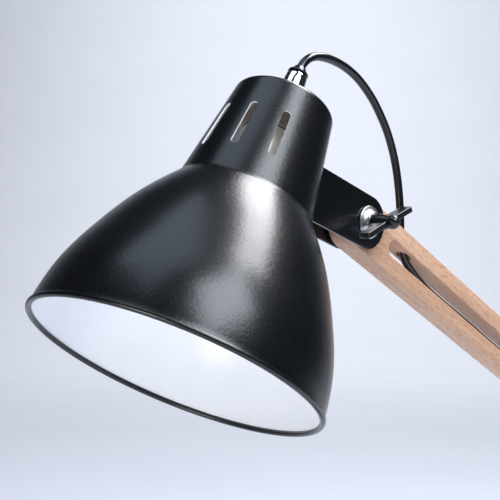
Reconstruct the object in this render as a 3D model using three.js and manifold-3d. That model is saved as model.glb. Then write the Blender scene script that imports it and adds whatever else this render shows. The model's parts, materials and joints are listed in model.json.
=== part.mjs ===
// A table lamp: a bell-shaped steel shade that tilts on a slotted beech arm, a second beech arm
// hinged below it, and a weighted round base. The lead runs through the slots of both arms.
// Millimetres, +Z up. X runs along the arms, away from the head. Y runs across them, away from
// the wing nuts. The origin is the middle of the base's underside.
import * as THREE from "three";
import { mergeVertices } from "three/addons/utils/BufferGeometryUtils.js";
import Module from "manifold-3d";

// General clearances and how finely round things are made
const GAP = 0.3; // between pieces that touch
const OVERRUN = 2; // how far a cutting tool runs past the piece it cuts
const WELD = 0.001; // vertices nearer than this are one
const FINE_SIDES = 32;
const MIDDLE_SIDES = 18;
const SMALL_SIDES = 12;
const HEX_SIDES = 6;

// The pose: angles in degrees
const LOWER_ARM_RISE = 66; // above the table, towards +X
const UPPER_ARM_FALL = 24.73; // below level, from the head to the elbow
const SHADE_LEAN = 28.65; // of the shade's axis from upright, towards +X
const EAR_LIFT = 13.08; // of the bracket's ears above the shade's mouth plane
const WING_TURN = 23; // of the wing nuts' wings above level

// Shade
const MOUTH_RADIUS = 86.8;
const BELL_HEIGHT = 106.6;
// At even heights, from mouth to crease
const BELL_BULGE_SHARES = [1, 0.972, 0.9175, 0.8245, 0.7025, 0.5675, 0.411, 0.2195, 0];
const CREASE_RADIUS = 43.4;
const CREASE_STEP = 1.2; // the cap starts this much inside the bell
const CAP_TOP_RADIUS = 32.2;
const CAP_HEIGHT = 72.9;
const SHOULDER_RADIUS = 4;
const DOME_RISE = 3;
const SHADE_WALL = 1;
const RIM_BEAD_RADIUS = 1.7;
const PIVOT_FROM_AXIS = 97.3;
const PIVOT_FROM_MOUTH = 154.8;

// Vent slots, in two groups on opposite sides of the cap
const VENT_WIDTH = 5;
const VENT_LENGTH = 32.3;
const VENT_MIDDLE = 140.7; // above the mouth
const VENT_STEP = 33.3;
const VENT_GROUP_ANGLES = [159.3, 339.3];
const VENTS_IN_GROUP = 3;

// Arms
const ARM_WIDTH = 35.9;
const UPPER_ARM_THICK = 17.1;
const LOWER_ARM_THICK = 19.7;
const UPPER_ARM_SPAN = 330; // pivot to pivot
const LOWER_ARM_SPAN = 330;
const SLOT_WIDTH = 11.6;
const SLOT_START = 32.9; // from a pivot to the slot's end
const CORD_HOLE_RADIUS = 5.2;
const CORD_HOLE_SLANT = 52.7; // between the hole and the arm
const CORD_HOLE_PLACE = 57.5; // from a pivot, in the middle of the strip that the hole goes through
const ELBOW_SETBACK = 30; // from the elbow's bolt to the lower arm's nose
const PLATE_OVERLAP = 48; // of the elbow plates on the lower arm
const LOWER_SLOT_SETBACK = 86; // from the elbow's pivot to the slot's end
const LOWER_HOLE_SETBACK = 12; // of the upper cord hole from that end

// Sheet brackets
const EAR_WIDTH = 35.2;
const EAR_THICK = 2;
const WEB_THICK = 2;
const FORK_THICK = 2.5;
const FORK_PIVOT_RISE = 24; // above the fork's floor

// Bolts, washers and wing nuts
const BOLT_RADIUS = 3;
const BOLT_CLEARANCE = 0.4; // around a bolt in its hole
const BOLT_HEAD_RADIUS = 8;
const BOLT_HEAD_HEIGHT = 4;
const SPACER_RADIUS = 13;
const SPACER_THICK = 1;
const CONE_WASHER_RADIUS = 11;
const CONE_WASHER_TOP_RADIUS = 6.4;
const CONE_WASHER_HEIGHT = 4.6;
const NUT_FOOT_RADIUS = 6;
const NUT_NECK_RADIUS = 4.4;
const NUT_HEIGHT = 14;
const NUT_BALL_RADIUS = 4.8;
const NUT_BORE_DEPTH = 13;
const WING_REACH = 26;
const WING_THICK = 3.8;
const WING_DEPTH = 8.5; // along the bolt, at the tip
const RIVET_RADIUS = 2.1;
const RIVET_HEAD_RADIUS = 4.2;
const RIVET_HEAD_HEIGHT = 1.8;
const RIVET_SPACING = 18;

// Cable entry and lampholder
const ENTRY_OFFSET = 0; // from the shade's axis towards the bracket
const NIPPLE_RADIUS = 5;
const NIPPLE_BORE = 3.4;
const NIPPLE_LENGTH = 34;
const GLAND_RADIUS = 6.9;
const GLAND_HEIGHT = 20.4;
const GLAND_CHAMFER = 1.6;
const GRIP_FLANGE_RADIUS = 6.6;
const GRIP_FLANGE_HEIGHT = 1.8;
const GRIP_TIP_RADIUS = 3.7;
const GRIP_HEIGHT = 5;
const LOCK_NUT_RADIUS = 8;
const LOCK_NUT_HEIGHT = 4;
const HOLDER_RADIUS = 19.6;
const HOLDER_LENGTH = 30;
const HOLDER_FLOOR = 4;
const COVER_HEIGHT = 21;
const COVER_WALL = 1.2;
const SHELL_RADIUS = 14.6;
const SHELL_WALL = 0.6;
const SHELL_LENGTH = 24;
const BULB_CAP_RADIUS = 13.2;
const BULB_CAP_LENGTH = 22;
const BULB_RADIUS = 22.5;
const BULB_NECK_RADIUS = 12.4;
const BULB_LENGTH = 48; // of the globe and its neck
const CONTACT_RADIUS = 4;
const CONTACT_THICK = 0.8;

// Base
const BASE_RADIUS = 95;
const BASE_HEIGHT = 24;
const BASE_EDGE_RADIUS = 5;
const BASE_WALL = 1.5;
const BASE_LIFT = 1; // of the cover's edge above the table
const PAD_THICK = 2;
const WEIGHT_HEIGHT = 14;
const BOSS_RADIUS = 30;
const FORK_SCREW_SPACING = 20;
const SCREW_RADIUS = 2.4;
const SCREW_HEAD_RADIUS = 4.4;
const SCREW_HEAD_HEIGHT = 2.8;
const GROMMET_PLACE = 62; // from the base's axis
const GROMMET_RADIUS = 6.5;
const GROMMET_NECK_RADIUS = 4.6;
const GROMMET_LIP = 1.6;
const LEAD_EXIT_HEIGHT = 9;
const INNER_BEND_RADIUS = 13;
const SLEEVE_LENGTH = 28;
const SLEEVE_RADIUS = 6;
const SLEEVE_TIP_RADIUS = 3.8;
const SLEEVE_NECK_RADIUS = 4.6;

// Lead
const CORD_RADIUS = 2.8;
const CORD_SIDES = 8;
const CORD_CLEARANCE = 0.35; // around the lead in a bore
const COIL_MIDDLE = [-5, 170];
const COIL_MEAN_RADIUS = 32.2;
const COIL_PITCH = 6.2;
const COIL_LAYER_RISE = 6.2;
const COIL_TURNS_PER_LAYER = 3;
const COIL_STEPS_PER_TURN = 24;
const COIL_SIDES = 6;
const TIE_WIDTH = 4;
const TIE_THICK = 0.8;

// Switch on the lead
const SWITCH_MIDDLE = [105, 127];
const SWITCH_LENGTH = 58;
const SWITCH_WIDTH = 24;
const SWITCH_HEIGHT = 18;
const SWITCH_WALL = 1.6;
const ROCKER_LENGTH = 18;
const ROCKER_WIDTH = 10;
const ROCKER_DEPTH = 7;
const ROCKER_TILT = 7;
const ROCKER_CLEARANCE = 0.7;
const ROCKER_PROUD = 1.2;

// Plug
const PLUG_PLACE = [61, 203]; // where the lead goes in
const PLUG_NECK_LENGTH = 22;
const PLUG_NECK_TIP_RADIUS = 3.6;
const PLUG_NECK_RADIUS = 5.6;
const PLUG_LENGTH = 35;
const PLUG_WIDTH = 27;
const PLUG_FACE_WIDTH = 25;
const PLUG_THICK = 13.6;
const PLUG_EDGE = 3;
const PIN_RADIUS = 2;
const PIN_LENGTH = 19;
const PIN_SPACING = 19;

const wasm = await Module();
wasm.setup();

const rad = THREE.MathUtils.degToRad;
const HALF_ARM = ARM_WIDTH / 2;
const HALF_EAR = EAR_WIDTH / 2;
const BOLT_HOLE = BOLT_RADIUS + BOLT_CLEARANCE;
const CORD_BORE = CORD_RADIUS + CORD_CLEARANCE;

// A closed geometry as a solid that manifold-3d can cut and join.
function solidOf(geometry) {
  const bare = new THREE.BufferGeometry();
  const flat = geometry.index ? geometry.toNonIndexed() : geometry;
  bare.setAttribute("position", flat.getAttribute("position"));
  const welded = mergeVertices(bare, WELD);
  const corners = Array.from(welded.index.array);
  const kept = [];
  const turned = [];
  for (let i = 0; i < corners.length; i += 3) {
    const [a, b, c] = corners.slice(i, i + 3);
    if (a === b || b === c || c === a) continue;
    kept.push(a, b, c);
    turned.push(a, c, b);
  }
  const vertProperties = welded.attributes.position.array;
  const build = (list) =>
    new wasm.Manifold(
      new wasm.Mesh({ numProp: 3, vertProperties, triVerts: new Uint32Array(list) }),
    );
  const made = build(kept);
  return made.volume() < 0 ? build(turned) : made;
}

// A solid back as a geometry for a mesh.
function geometryOf(solid) {
  const { vertProperties, triVerts } = solid.getMesh();
  const geometry = new THREE.BufferGeometry();
  geometry.setAttribute("position", new THREE.BufferAttribute(vertProperties, 3));
  geometry.setIndex(new THREE.BufferAttribute(triVerts, 1));
  geometry.computeVertexNormals();
  return geometry;
}

const cut = (piece, ...tools) =>
  geometryOf(tools.reduce((solid, tool) => solid.subtract(solidOf(tool)), solidOf(piece)));

const join = (piece, ...others) =>
  geometryOf(others.reduce((solid, other) => solid.add(solidOf(other)), solidOf(piece)));

const common = (piece, other) => geometryOf(solidOf(piece).intersect(solidOf(other)));

const moved = (geometry, x, y, z) => geometry.clone().translate(x, y, z);

// A profile of [radius, height] points turned about Z, whichever way round the points run.
function turned(profile, sides) {
  const points = profile.map(([radius, height]) => new THREE.Vector2(radius, height));
  if (THREE.ShapeUtils.area(points) < 0) points.reverse();
  return new THREE.LatheGeometry(points, sides).rotateX(Math.PI / 2);
}

// A ring or tube between two radii and two heights.
function ring(inner, outer, low, high, sides) {
  const profile = [
    [inner, low],
    [outer, low],
    [outer, high],
    [inner, high],
    [inner, low],
  ];
  return turned(profile, sides);
}

// A plain round bar along Z.
function bar(radius, low, high, sides) {
  const profile = [
    [0, low],
    [radius, low],
    [radius, high],
    [0, high],
  ];
  return turned(profile, sides);
}

// What was made along +Z, laid along -Y (towards the wing nuts), +Y or +X.
const towardsNuts = (geometry) => geometry.rotateX(Math.PI / 2);
const awayFromNuts = (geometry) => geometry.rotateX(-Math.PI / 2);
const alongX = (geometry) => geometry.rotateY(Math.PI / 2);

// An outline in X and Z, as thick as asked, centred on Y = 0.
function slab(shape, thickness, steps = SMALL_SIDES / 2) {
  const settings = { depth: thickness, bevelEnabled: false, curveSegments: steps };
  const geometry = new THREE.ExtrudeGeometry(shape, settings);
  return geometry.rotateX(Math.PI / 2).translate(0, thickness / 2, 0);
}

// A shape with two parallel sides and round ends, from one centre on X to another.
function stadium(from, to, radius) {
  const shape = new THREE.Shape();
  shape.absarc(from, 0, radius, Math.PI / 2, (3 * Math.PI) / 2);
  shape.absarc(to, 0, radius, -Math.PI / 2, Math.PI / 2);
  shape.closePath();
  return shape;
}

function block(sizeX, sizeY, sizeZ, x = 0, y = 0, z = 0) {
  return new THREE.BoxGeometry(sizeX, sizeY, sizeZ).translate(x, y, z);
}

// The Y-wise bore for a bolt or rivet at a place on X and Z.
function crossBore(radius, x = 0, z = 0) {
  const reach = LOWER_ARM_THICK + FORK_THICK + OVERRUN;
  return towardsNuts(bar(radius, -reach, reach, SMALL_SIDES)).translate(x, 0, z);
}

// Materials, with the photo's colours
function finish(color, roughness, metalness) {
  return new THREE.MeshStandardMaterial({ color, roughness, metalness });
}
const blackPaint = finish(0x15171a, 0.45, 0.2);
const beech = finish(0xd9a883, 0.6, 0);
const chrome = finish(0xc9ccd0, 0.12, 1);
const satinSteel = finish(0xb4b8bb, 0.35, 1);
const blackNylon = finish(0x101113, 0.35, 0);
const blackPvc = finish(0x0c0d0f, 0.3, 0);
const porcelain = finish(0xe9e2d2, 0.3, 0);
const brass = finish(0xc6a15a, 0.3, 1);
const frosted = finish(0xf4f2ec, 0.35, 0);
const castIron = finish(0x3a3b3d, 0.8, 0.6);
const blackRubber = finish(0x1b1b1c, 0.85, 0);

const lamp = new THREE.Group();

function add(group, name, geometry, material) {
  const mesh = new THREE.Mesh(geometry, material);
  mesh.name = name;
  group.add(mesh);
  return mesh;
}

// Where the pivots are
const WEIGHT_LOW = PAD_THICK + GAP;
const FORK_LOW = BASE_HEIGHT + GAP;
const FORK_FLOOR = FORK_LOW + FORK_THICK;
const footPivot = new THREE.Vector3(0, 0, FORK_FLOOR + FORK_PIVOT_RISE);
const lowerWay = new THREE.Vector3(Math.cos(rad(LOWER_ARM_RISE)), 0, Math.sin(rad(LOWER_ARM_RISE)));
const upperWay = new THREE.Vector3(Math.cos(rad(UPPER_ARM_FALL)), 0, -Math.sin(rad(UPPER_ARM_FALL)));
const elbowPivot = footPivot.clone().addScaledVector(lowerWay, LOWER_ARM_SPAN);
const headPivot = elbowPivot.clone().addScaledVector(upperWay, -UPPER_ARM_SPAN);

// Half the inner width of the bracket and of the fork, and where their near faces are
const innerHalf = (armThick) => armThick / 2 + GAP + SPACER_THICK + GAP;
const HEAD_INNER = innerHalf(UPPER_ARM_THICK);
const HEAD_FACE = HEAD_INNER + EAR_THICK;
const FOOT_INNER = innerHalf(LOWER_ARM_THICK);
const FOOT_FACE = FOOT_INNER + FORK_THICK;

// The bolt, spacers, cone washer and wing nut of one hinge, around the group's own Y axis.
function hingeHardware(group, prefix, armThick, face, wingTurn) {
  const nutFoot = face + GAP + CONE_WASHER_HEIGHT + GAP;
  const headProfile = [
    [0, face + GAP + BOLT_HEAD_HEIGHT],
    [BOLT_HEAD_RADIUS / 2, face + GAP + BOLT_HEAD_HEIGHT * 0.86],
    [BOLT_HEAD_RADIUS * 0.86, face + GAP + BOLT_HEAD_HEIGHT / 2],
    [BOLT_HEAD_RADIUS, face + GAP],
    [BOLT_RADIUS, face + GAP],
    [BOLT_RADIUS, -(nutFoot + NUT_BORE_DEPTH - GAP)],
    [0, -(nutFoot + NUT_BORE_DEPTH - GAP)],
  ];
  add(group, prefix + "_bolt", awayFromNuts(turned(headProfile, SMALL_SIDES)), satinSteel);

  const spacerLow = armThick / 2 + GAP;
  for (const [side, lay] of [["near", towardsNuts], ["far", awayFromNuts]]) {
    const spacer = ring(BOLT_HOLE, SPACER_RADIUS, spacerLow, spacerLow + SPACER_THICK, SMALL_SIDES);
    add(group, prefix + "_spacer_" + side, lay(spacer), blackNylon);
  }

  const washerLow = face + GAP;
  const flare = CONE_WASHER_RADIUS - CONE_WASHER_TOP_RADIUS;
  const washerProfile = [
    [BOLT_HOLE, washerLow],
    [CONE_WASHER_RADIUS, washerLow],
    [CONE_WASHER_RADIUS, washerLow + CONE_WASHER_HEIGHT * 0.18],
    [CONE_WASHER_TOP_RADIUS + flare * 0.45, washerLow + CONE_WASHER_HEIGHT * 0.45],
    [CONE_WASHER_TOP_RADIUS + flare * 0.12, washerLow + CONE_WASHER_HEIGHT * 0.75],
    [CONE_WASHER_TOP_RADIUS, washerLow + CONE_WASHER_HEIGHT],
    [BOLT_HOLE, washerLow + CONE_WASHER_HEIGHT],
    [BOLT_HOLE, washerLow],
  ];
  add(group, prefix + "_cone_washer", towardsNuts(turned(washerProfile, MIDDLE_SIDES)), satinSteel);

  const nut = wingNut();
  nut.translate(0, 0, nutFoot).rotateX(Math.PI / 2).rotateY(-rad(wingTurn));
  add(group, prefix + "_wing_nut", nut, blackNylon);
}

// A wing nut along Z, standing on Z = 0, its two wings along X, with a blind bore from below.
function wingNut() {
  const ballMiddle = NUT_HEIGHT;
  const profile = [
    [0, 0],
    [NUT_FOOT_RADIUS, 0],
    [NUT_FOOT_RADIUS, NUT_HEIGHT * 0.2],
    [NUT_NECK_RADIUS, NUT_HEIGHT * 0.75],
  ];
  const ballSteps = 5;
  for (let i = 0; i <= ballSteps; i++) {
    const angle = -Math.PI / 6 + ((Math.PI * 2) / 3) * (i / ballSteps);
    const radius = i === ballSteps ? 0 : NUT_BALL_RADIUS * Math.cos(angle);
    profile.push([radius, ballMiddle + NUT_BALL_RADIUS * Math.sin(angle)]);
  }
  const hub = turned(profile, SMALL_SIDES);
  const top = NUT_HEIGHT * 0.93;
  const tipLow = top - WING_DEPTH;
  const corner = WING_DEPTH * 0.3;
  const wings = new THREE.Shape();
  wings.moveTo(0, NUT_HEIGHT * 0.12);
  wings.lineTo(NUT_FOOT_RADIUS, NUT_HEIGHT * 0.16);
  wings.lineTo(WING_REACH - corner, tipLow);
  wings.quadraticCurveTo(WING_REACH, tipLow, WING_REACH, tipLow + corner);
  wings.lineTo(WING_REACH, top - corner);
  wings.quadraticCurveTo(WING_REACH, top, WING_REACH - corner, top);
  wings.lineTo(NUT_NECK_RADIUS, top * 0.94);
  wings.lineTo(-NUT_NECK_RADIUS, top * 0.94);
  wings.lineTo(corner - WING_REACH, top);
  wings.quadraticCurveTo(-WING_REACH, top, -WING_REACH, top - corner);
  wings.lineTo(-WING_REACH, tipLow + corner);
  wings.quadraticCurveTo(-WING_REACH, tipLow, corner - WING_REACH, tipLow);
  wings.lineTo(-NUT_FOOT_RADIUS, NUT_HEIGHT * 0.16);
  wings.closePath();
  const bore = bar(BOLT_HOLE, -OVERRUN, NUT_BORE_DEPTH, SMALL_SIDES);
  return cut(join(hub, slab(wings, WING_THICK, 3)), bore);
}

// A rivet along Z: a domed head above high, a shank, and a flatter head below low.
function rivet(low, high) {
  const profile = [
    [0, low - GAP - RIVET_HEAD_HEIGHT],
    [RIVET_HEAD_RADIUS * 0.8, low - GAP - RIVET_HEAD_HEIGHT * 0.8],
    [RIVET_HEAD_RADIUS, low - GAP],
    [RIVET_RADIUS, low - GAP],
    [RIVET_RADIUS, high + GAP],
    [RIVET_HEAD_RADIUS, high + GAP],
    [RIVET_HEAD_RADIUS * 0.8, high + GAP + RIVET_HEAD_HEIGHT * 0.8],
    [0, high + GAP + RIVET_HEAD_HEIGHT],
  ];
  return turned(profile, SMALL_SIDES);
}

// The shade, its axis along Z from the middle of the mouth.
const capRadiusAt = (height) =>
  CREASE_RADIUS -
  CREASE_STEP +
  ((CAP_TOP_RADIUS - CREASE_RADIUS + CREASE_STEP) * (height - BELL_HEIGHT)) / CAP_HEIGHT;
const CAP_TOP = BELL_HEIGHT + CAP_HEIGHT;
const DOME_TOP = CAP_TOP + DOME_RISE;

// The outer line of the bell and the cap, from mouth to top, moved inwards by a wall.
function shadeLine(wall) {
  const bell = new THREE.SplineCurve(
    BELL_BULGE_SHARES.map(
      (share, i) =>
        new THREE.Vector2(
          CREASE_RADIUS + share * (MOUTH_RADIUS - CREASE_RADIUS),
          (BELL_HEIGHT * i) / (BELL_BULGE_SHARES.length - 1),
        ),
    ),
  );
  const bellSteps = 7;
  const line = bell.getPoints(bellSteps).map((point, i) => {
    const way = bell.getTangent(i / bellSteps);
    return [point.x - wall * way.y, point.y + wall * way.x * (i ? 1 : 0)];
  });
  line.push([capRadiusAt(BELL_HEIGHT) - wall, BELL_HEIGHT + CREASE_STEP]);
  const shoulder = SHOULDER_RADIUS - wall;
  const shoulderSteps = 2;
  for (let i = 0; i <= shoulderSteps; i++) {
    const angle = (Math.PI / 2) * (i / shoulderSteps);
    line.push([
      CAP_TOP_RADIUS - SHOULDER_RADIUS + shoulder * Math.cos(angle),
      CAP_TOP - SHOULDER_RADIUS + shoulder * Math.sin(angle),
    ]);
  }
  line.push([CAP_TOP_RADIUS / 2, CAP_TOP - wall + DOME_RISE * 0.7]);
  line.push([0, DOME_TOP - wall]);
  return line;
}

// The cap's outer cone, grown by a clearance, as a tool that shapes what sits against it.
function capTool(clearance) {
  const high = CAP_TOP + OVERRUN;
  const low = BELL_HEIGHT + CREASE_STEP;
  const profile = [
    [0, low],
    [capRadiusAt(low) + clearance, low],
    [capRadiusAt(high) + clearance, high],
    [0, high],
  ];
  return turned(profile, FINE_SIDES);
}

const CONE_LEAN = Math.atan((CREASE_RADIUS - CREASE_STEP - CAP_TOP_RADIUS) / CAP_HEIGHT);
// The middle of the bracket's web, where the ears' middle line meets the cap's wall
const earWay = new THREE.Vector2(Math.cos(rad(EAR_LIFT)), Math.sin(rad(EAR_LIFT)));
const earRun =
  (PIVOT_FROM_AXIS - capRadiusAt(PIVOT_FROM_MOUTH)) / (earWay.x + earWay.y * Math.tan(CONE_LEAN));
const webMiddle = new THREE.Vector3(
  PIVOT_FROM_AXIS - earRun * earWay.x,
  0,
  PIVOT_FROM_MOUTH - earRun * earWay.y,
);

// What is made with +X as the wall's outward normal, put on the cap's wall at a height
function ontoWall(geometry, along = 0) {
  return geometry
    .translate(0, 0, along)
    .rotateY(-CONE_LEAN)
    .translate(webMiddle.x, webMiddle.y, webMiddle.z);
}

function buildHead() {
  const head = new THREE.Group();
  const lean = rad(SHADE_LEAN);
  head.rotation.y = lean;
  const fromMouth = new THREE.Vector3(PIVOT_FROM_AXIS, 0, PIVOT_FROM_MOUTH);
  head.position.copy(headPivot).sub(fromMouth.applyEuler(head.rotation));
  lamp.add(head);

  const outer = shadeLine(0);
  const inner = shadeLine(SHADE_WALL).reverse();
  let shade = turned([...outer, ...inner, outer[0]], FINE_SIDES);
  const bead = [];
  const beadSteps = 5;
  for (let i = 0; i <= beadSteps; i++) {
    const angle = ((Math.PI * 2) / beadSteps) * (i % beadSteps);
    bead.push([
      MOUTH_RADIUS - SHADE_WALL / 2 + RIM_BEAD_RADIUS * Math.cos(angle),
      RIM_BEAD_RADIUS * Math.sin(angle),
    ]);
  }
  shade = join(shade, turned(bead, FINE_SIDES));
  const ventCuts = [];
  for (const group of VENT_GROUP_ANGLES) {
    for (let i = 0; i < VENTS_IN_GROUP; i++) {
      const angle = group + VENT_STEP * (i - (VENTS_IN_GROUP - 1) / 2);
      const run = (VENT_LENGTH - VENT_WIDTH) / 2;
      const vent = slab(stadium(-run, run, VENT_WIDTH / 2), CREASE_RADIUS, 3);
      vent.rotateY(Math.PI / 2).rotateZ(Math.PI / 2);
      vent.translate(CREASE_RADIUS, 0, VENT_MIDDLE).rotateZ(-rad(angle));
      ventCuts.push(vent);
    }
  }
  const entryLow = CAP_TOP - CAP_HEIGHT / 2;
  const entryHole = bar(NIPPLE_RADIUS + BOLT_CLEARANCE, entryLow, DOME_TOP + OVERRUN, SMALL_SIDES);
  const rivetHoles = [-1, 1].map((side) =>
    ontoWall(
      alongX(bar(RIVET_RADIUS + BOLT_CLEARANCE, -RIVET_SPACING / 2, RIVET_SPACING / 2, SMALL_SIDES)),
      (side * RIVET_SPACING) / 2,
    ),
  );
  shade = cut(shade, ...ventCuts, moved(entryHole, ENTRY_OFFSET, 0, 0), ...rivetHoles);
  add(head, "shade", shade, blackPaint);

  // The bracket: two ears and a web that follows the cap's wall
  const reach = earRun + HALF_EAR / 2;
  const ear = stadium(0, 0, HALF_EAR);
  const ears = [-1, 1].map((side) => {
    const round = slab(ear, EAR_THICK);
    const straight = block(reach, EAR_THICK, EAR_WIDTH, -reach / 2, 0, 0);
    return join(round, straight).translate(0, side * (HEAD_INNER + EAR_THICK / 2), 0);
  });
  const webDepth = HALF_EAR / 2;
  const web = block(webDepth, HEAD_FACE * 2, EAR_WIDTH, GAP + WEB_THICK - webDepth / 2, 0, 0);
  const onEars = (geometry) =>
    geometry.rotateY(-rad(EAR_LIFT)).translate(PIVOT_FROM_AXIS, 0, PIVOT_FROM_MOUTH);
  const trim = block(reach * 2, HEAD_FACE * 3, EAR_WIDTH, -reach, 0, 0);
  const webPiece = common(ontoWall(web), onEars(trim));
  let bracket = join(onEars(ears[0]), onEars(ears[1]), webPiece);
  const pivotBore = crossBore(BOLT_HOLE, PIVOT_FROM_AXIS, PIVOT_FROM_MOUTH);
  bracket = cut(bracket, capTool(GAP), pivotBore, ...rivetHoles);
  add(head, "shade_bracket", bracket, blackPaint);
  for (const [name, side] of [["low", -1], ["high", 1]]) {
    const shank = alongX(rivet(-SHADE_WALL - GAP * 2, GAP + WEB_THICK));
    add(head, "bracket_rivet_" + name, ontoWall(shank, (side * RIVET_SPACING) / 2), satinSteel);
  }

  const hinge = new THREE.Group();
  hinge.position.set(PIVOT_FROM_AXIS, 0, PIVOT_FROM_MOUTH);
  head.add(hinge);
  hingeHardware(hinge, "head", UPPER_ARM_THICK, HEAD_FACE, WING_TURN + SHADE_LEAN);

  buildEntry(head);
  return head;
}

// The dome's outer height at a distance from the shade's axis, near the middle
const domeAt = (radius) => DOME_TOP - (2 * radius * DOME_RISE * 0.3) / CAP_TOP_RADIUS;
const GLAND_LOW = domeAt(ENTRY_OFFSET - GLAND_RADIUS < 0 ? 0 : ENTRY_OFFSET) + GAP;
const GLAND_TOP = GLAND_LOW + GLAND_HEIGHT;
const GRIP_LOW = GLAND_TOP + GAP;
const GRIP_TOP = GRIP_LOW + GRIP_HEIGHT;

// The cable entry above the cap, and the lampholder and bulb below it.
function buildEntry(head) {
  const entry = new THREE.Group();
  entry.position.x = ENTRY_OFFSET;
  head.add(entry);

  const glandBore = NIPPLE_RADIUS + GAP;
  const glandProfile = [
    [glandBore, GLAND_LOW],
    [GLAND_RADIUS, GLAND_LOW],
    [GLAND_RADIUS, GLAND_TOP - GLAND_CHAMFER * 1.5],
    [GLAND_RADIUS - GLAND_CHAMFER, GLAND_TOP],
    [CORD_BORE, GLAND_TOP],
    [CORD_BORE, GLAND_TOP - GLAND_CHAMFER * 2],
    [glandBore, GLAND_TOP - GLAND_CHAMFER * 3],
    [glandBore, GLAND_LOW],
  ];
  add(entry, "cable_gland", turned(glandProfile, SMALL_SIDES), chrome);

  const gripProfile = [
    [CORD_BORE, GRIP_LOW],
    [GRIP_FLANGE_RADIUS, GRIP_LOW],
    [GRIP_FLANGE_RADIUS, GRIP_LOW + GRIP_FLANGE_HEIGHT * 0.6],
    [GRIP_FLANGE_RADIUS * 0.78, GRIP_LOW + GRIP_FLANGE_HEIGHT],
    [GRIP_TIP_RADIUS, GRIP_TOP],
    [CORD_BORE, GRIP_TOP],
    [CORD_BORE, GRIP_LOW],
  ];
  add(entry, "cord_grip", turned(gripProfile, SMALL_SIDES), blackNylon);

  const nippleTop = GLAND_TOP - GLAND_CHAMFER * 3 - GAP;
  const nipple = ring(NIPPLE_BORE, NIPPLE_RADIUS, nippleTop - NIPPLE_LENGTH, nippleTop, SMALL_SIDES);
  add(entry, "threaded_nipple", nipple, brass);

  const nutTop = DOME_TOP - DOME_RISE * 0.3 - SHADE_WALL - GAP;
  const lockNut = cut(
    bar(LOCK_NUT_RADIUS, nutTop - LOCK_NUT_HEIGHT, nutTop, HEX_SIDES),
    bar(NIPPLE_RADIUS + GAP, nutTop - LOCK_NUT_HEIGHT - OVERRUN, nutTop + OVERRUN, SMALL_SIDES),
  );
  add(entry, "lock_nut", lockNut, satinSteel);

  const coverTop = nutTop - LOCK_NUT_HEIGHT - GAP;
  const coverLow = coverTop - COVER_HEIGHT;
  const coverProfile = [
    [NIPPLE_RADIUS + GAP, coverTop],
    [HOLDER_RADIUS * 0.6, coverTop],
    [HOLDER_RADIUS * 0.88, coverTop - COVER_HEIGHT * 0.2],
    [HOLDER_RADIUS, coverTop - COVER_HEIGHT * 0.5],
    [HOLDER_RADIUS, coverLow],
    [HOLDER_RADIUS - COVER_WALL, coverLow],
    [HOLDER_RADIUS - COVER_WALL, coverTop - COVER_HEIGHT * 0.5],
    [HOLDER_RADIUS * 0.88 - COVER_WALL, coverTop - COVER_HEIGHT * 0.2 - COVER_WALL],
    [HOLDER_RADIUS * 0.6 - COVER_WALL, coverTop - COVER_WALL],
    [NIPPLE_RADIUS + GAP, coverTop - COVER_WALL],
    [NIPPLE_RADIUS + GAP, coverTop],
  ];
  add(entry, "holder_cover", turned(coverProfile, MIDDLE_SIDES), brass);

  const holderTop = coverLow - GAP;
  const holderLow = holderTop - HOLDER_LENGTH;
  const wire = CORD_RADIUS / 2;
  const pocket = SHELL_RADIUS + GAP;
  const holderProfile = [
    [wire, holderTop],
    [HOLDER_RADIUS * 0.94, holderTop],
    [HOLDER_RADIUS * 0.94, holderLow + HOLDER_LENGTH * 0.3],
    [HOLDER_RADIUS, holderLow + HOLDER_LENGTH * 0.25],
    [HOLDER_RADIUS, holderLow],
    [pocket, holderLow],
    [pocket, holderTop - HOLDER_FLOOR],
    [wire, holderTop - HOLDER_FLOOR],
    [wire, holderTop],
  ];
  add(entry, "holder_body", turned(holderProfile, MIDDLE_SIDES), porcelain);

  const shellTop = holderTop - HOLDER_FLOOR - GAP;
  const shellLow = shellTop - SHELL_LENGTH;
  const shell = ring(SHELL_RADIUS - SHELL_WALL, SHELL_RADIUS, shellLow, shellTop, MIDDLE_SIDES);
  add(entry, "screw_shell", shell, brass);
  add(entry, "centre_contact", bar(CONTACT_RADIUS, shellTop - CONTACT_THICK, shellTop, SMALL_SIDES), brass);

  const capHigh = shellTop - CONTACT_THICK - GAP;
  const capLow = capHigh - BULB_CAP_LENGTH;
  const bulbCapProfile = [
    [0, capHigh],
    [CONTACT_RADIUS, capHigh],
    [BULB_CAP_RADIUS * 0.86, capHigh - BULB_CAP_LENGTH * 0.14],
    [BULB_CAP_RADIUS, capHigh - BULB_CAP_LENGTH * 0.2],
    [BULB_CAP_RADIUS, capLow],
    [0, capLow],
  ];
  add(entry, "bulb_cap", turned(bulbCapProfile, MIDDLE_SIDES), satinSteel);

  // The globe and its neck
  const globeTop = capLow - GAP;
  const globeMiddle = globeTop - BULB_LENGTH + BULB_RADIUS;
  const neckAngle = Math.acos(BULB_NECK_RADIUS / BULB_RADIUS);
  const globeProfile = [
    [0, globeTop],
    [BULB_NECK_RADIUS, globeTop],
  ];
  const globeSteps = 8;
  for (let i = 0; i <= globeSteps; i++) {
    const angle = neckAngle - (neckAngle + Math.PI / 2) * (i / globeSteps);
    const radius = i === globeSteps ? 0 : BULB_RADIUS * Math.cos(angle);
    globeProfile.push([radius, globeMiddle + BULB_RADIUS * Math.sin(angle)]);
  }
  add(entry, "bulb_globe", turned(globeProfile, MIDDLE_SIDES), frosted);
}

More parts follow.
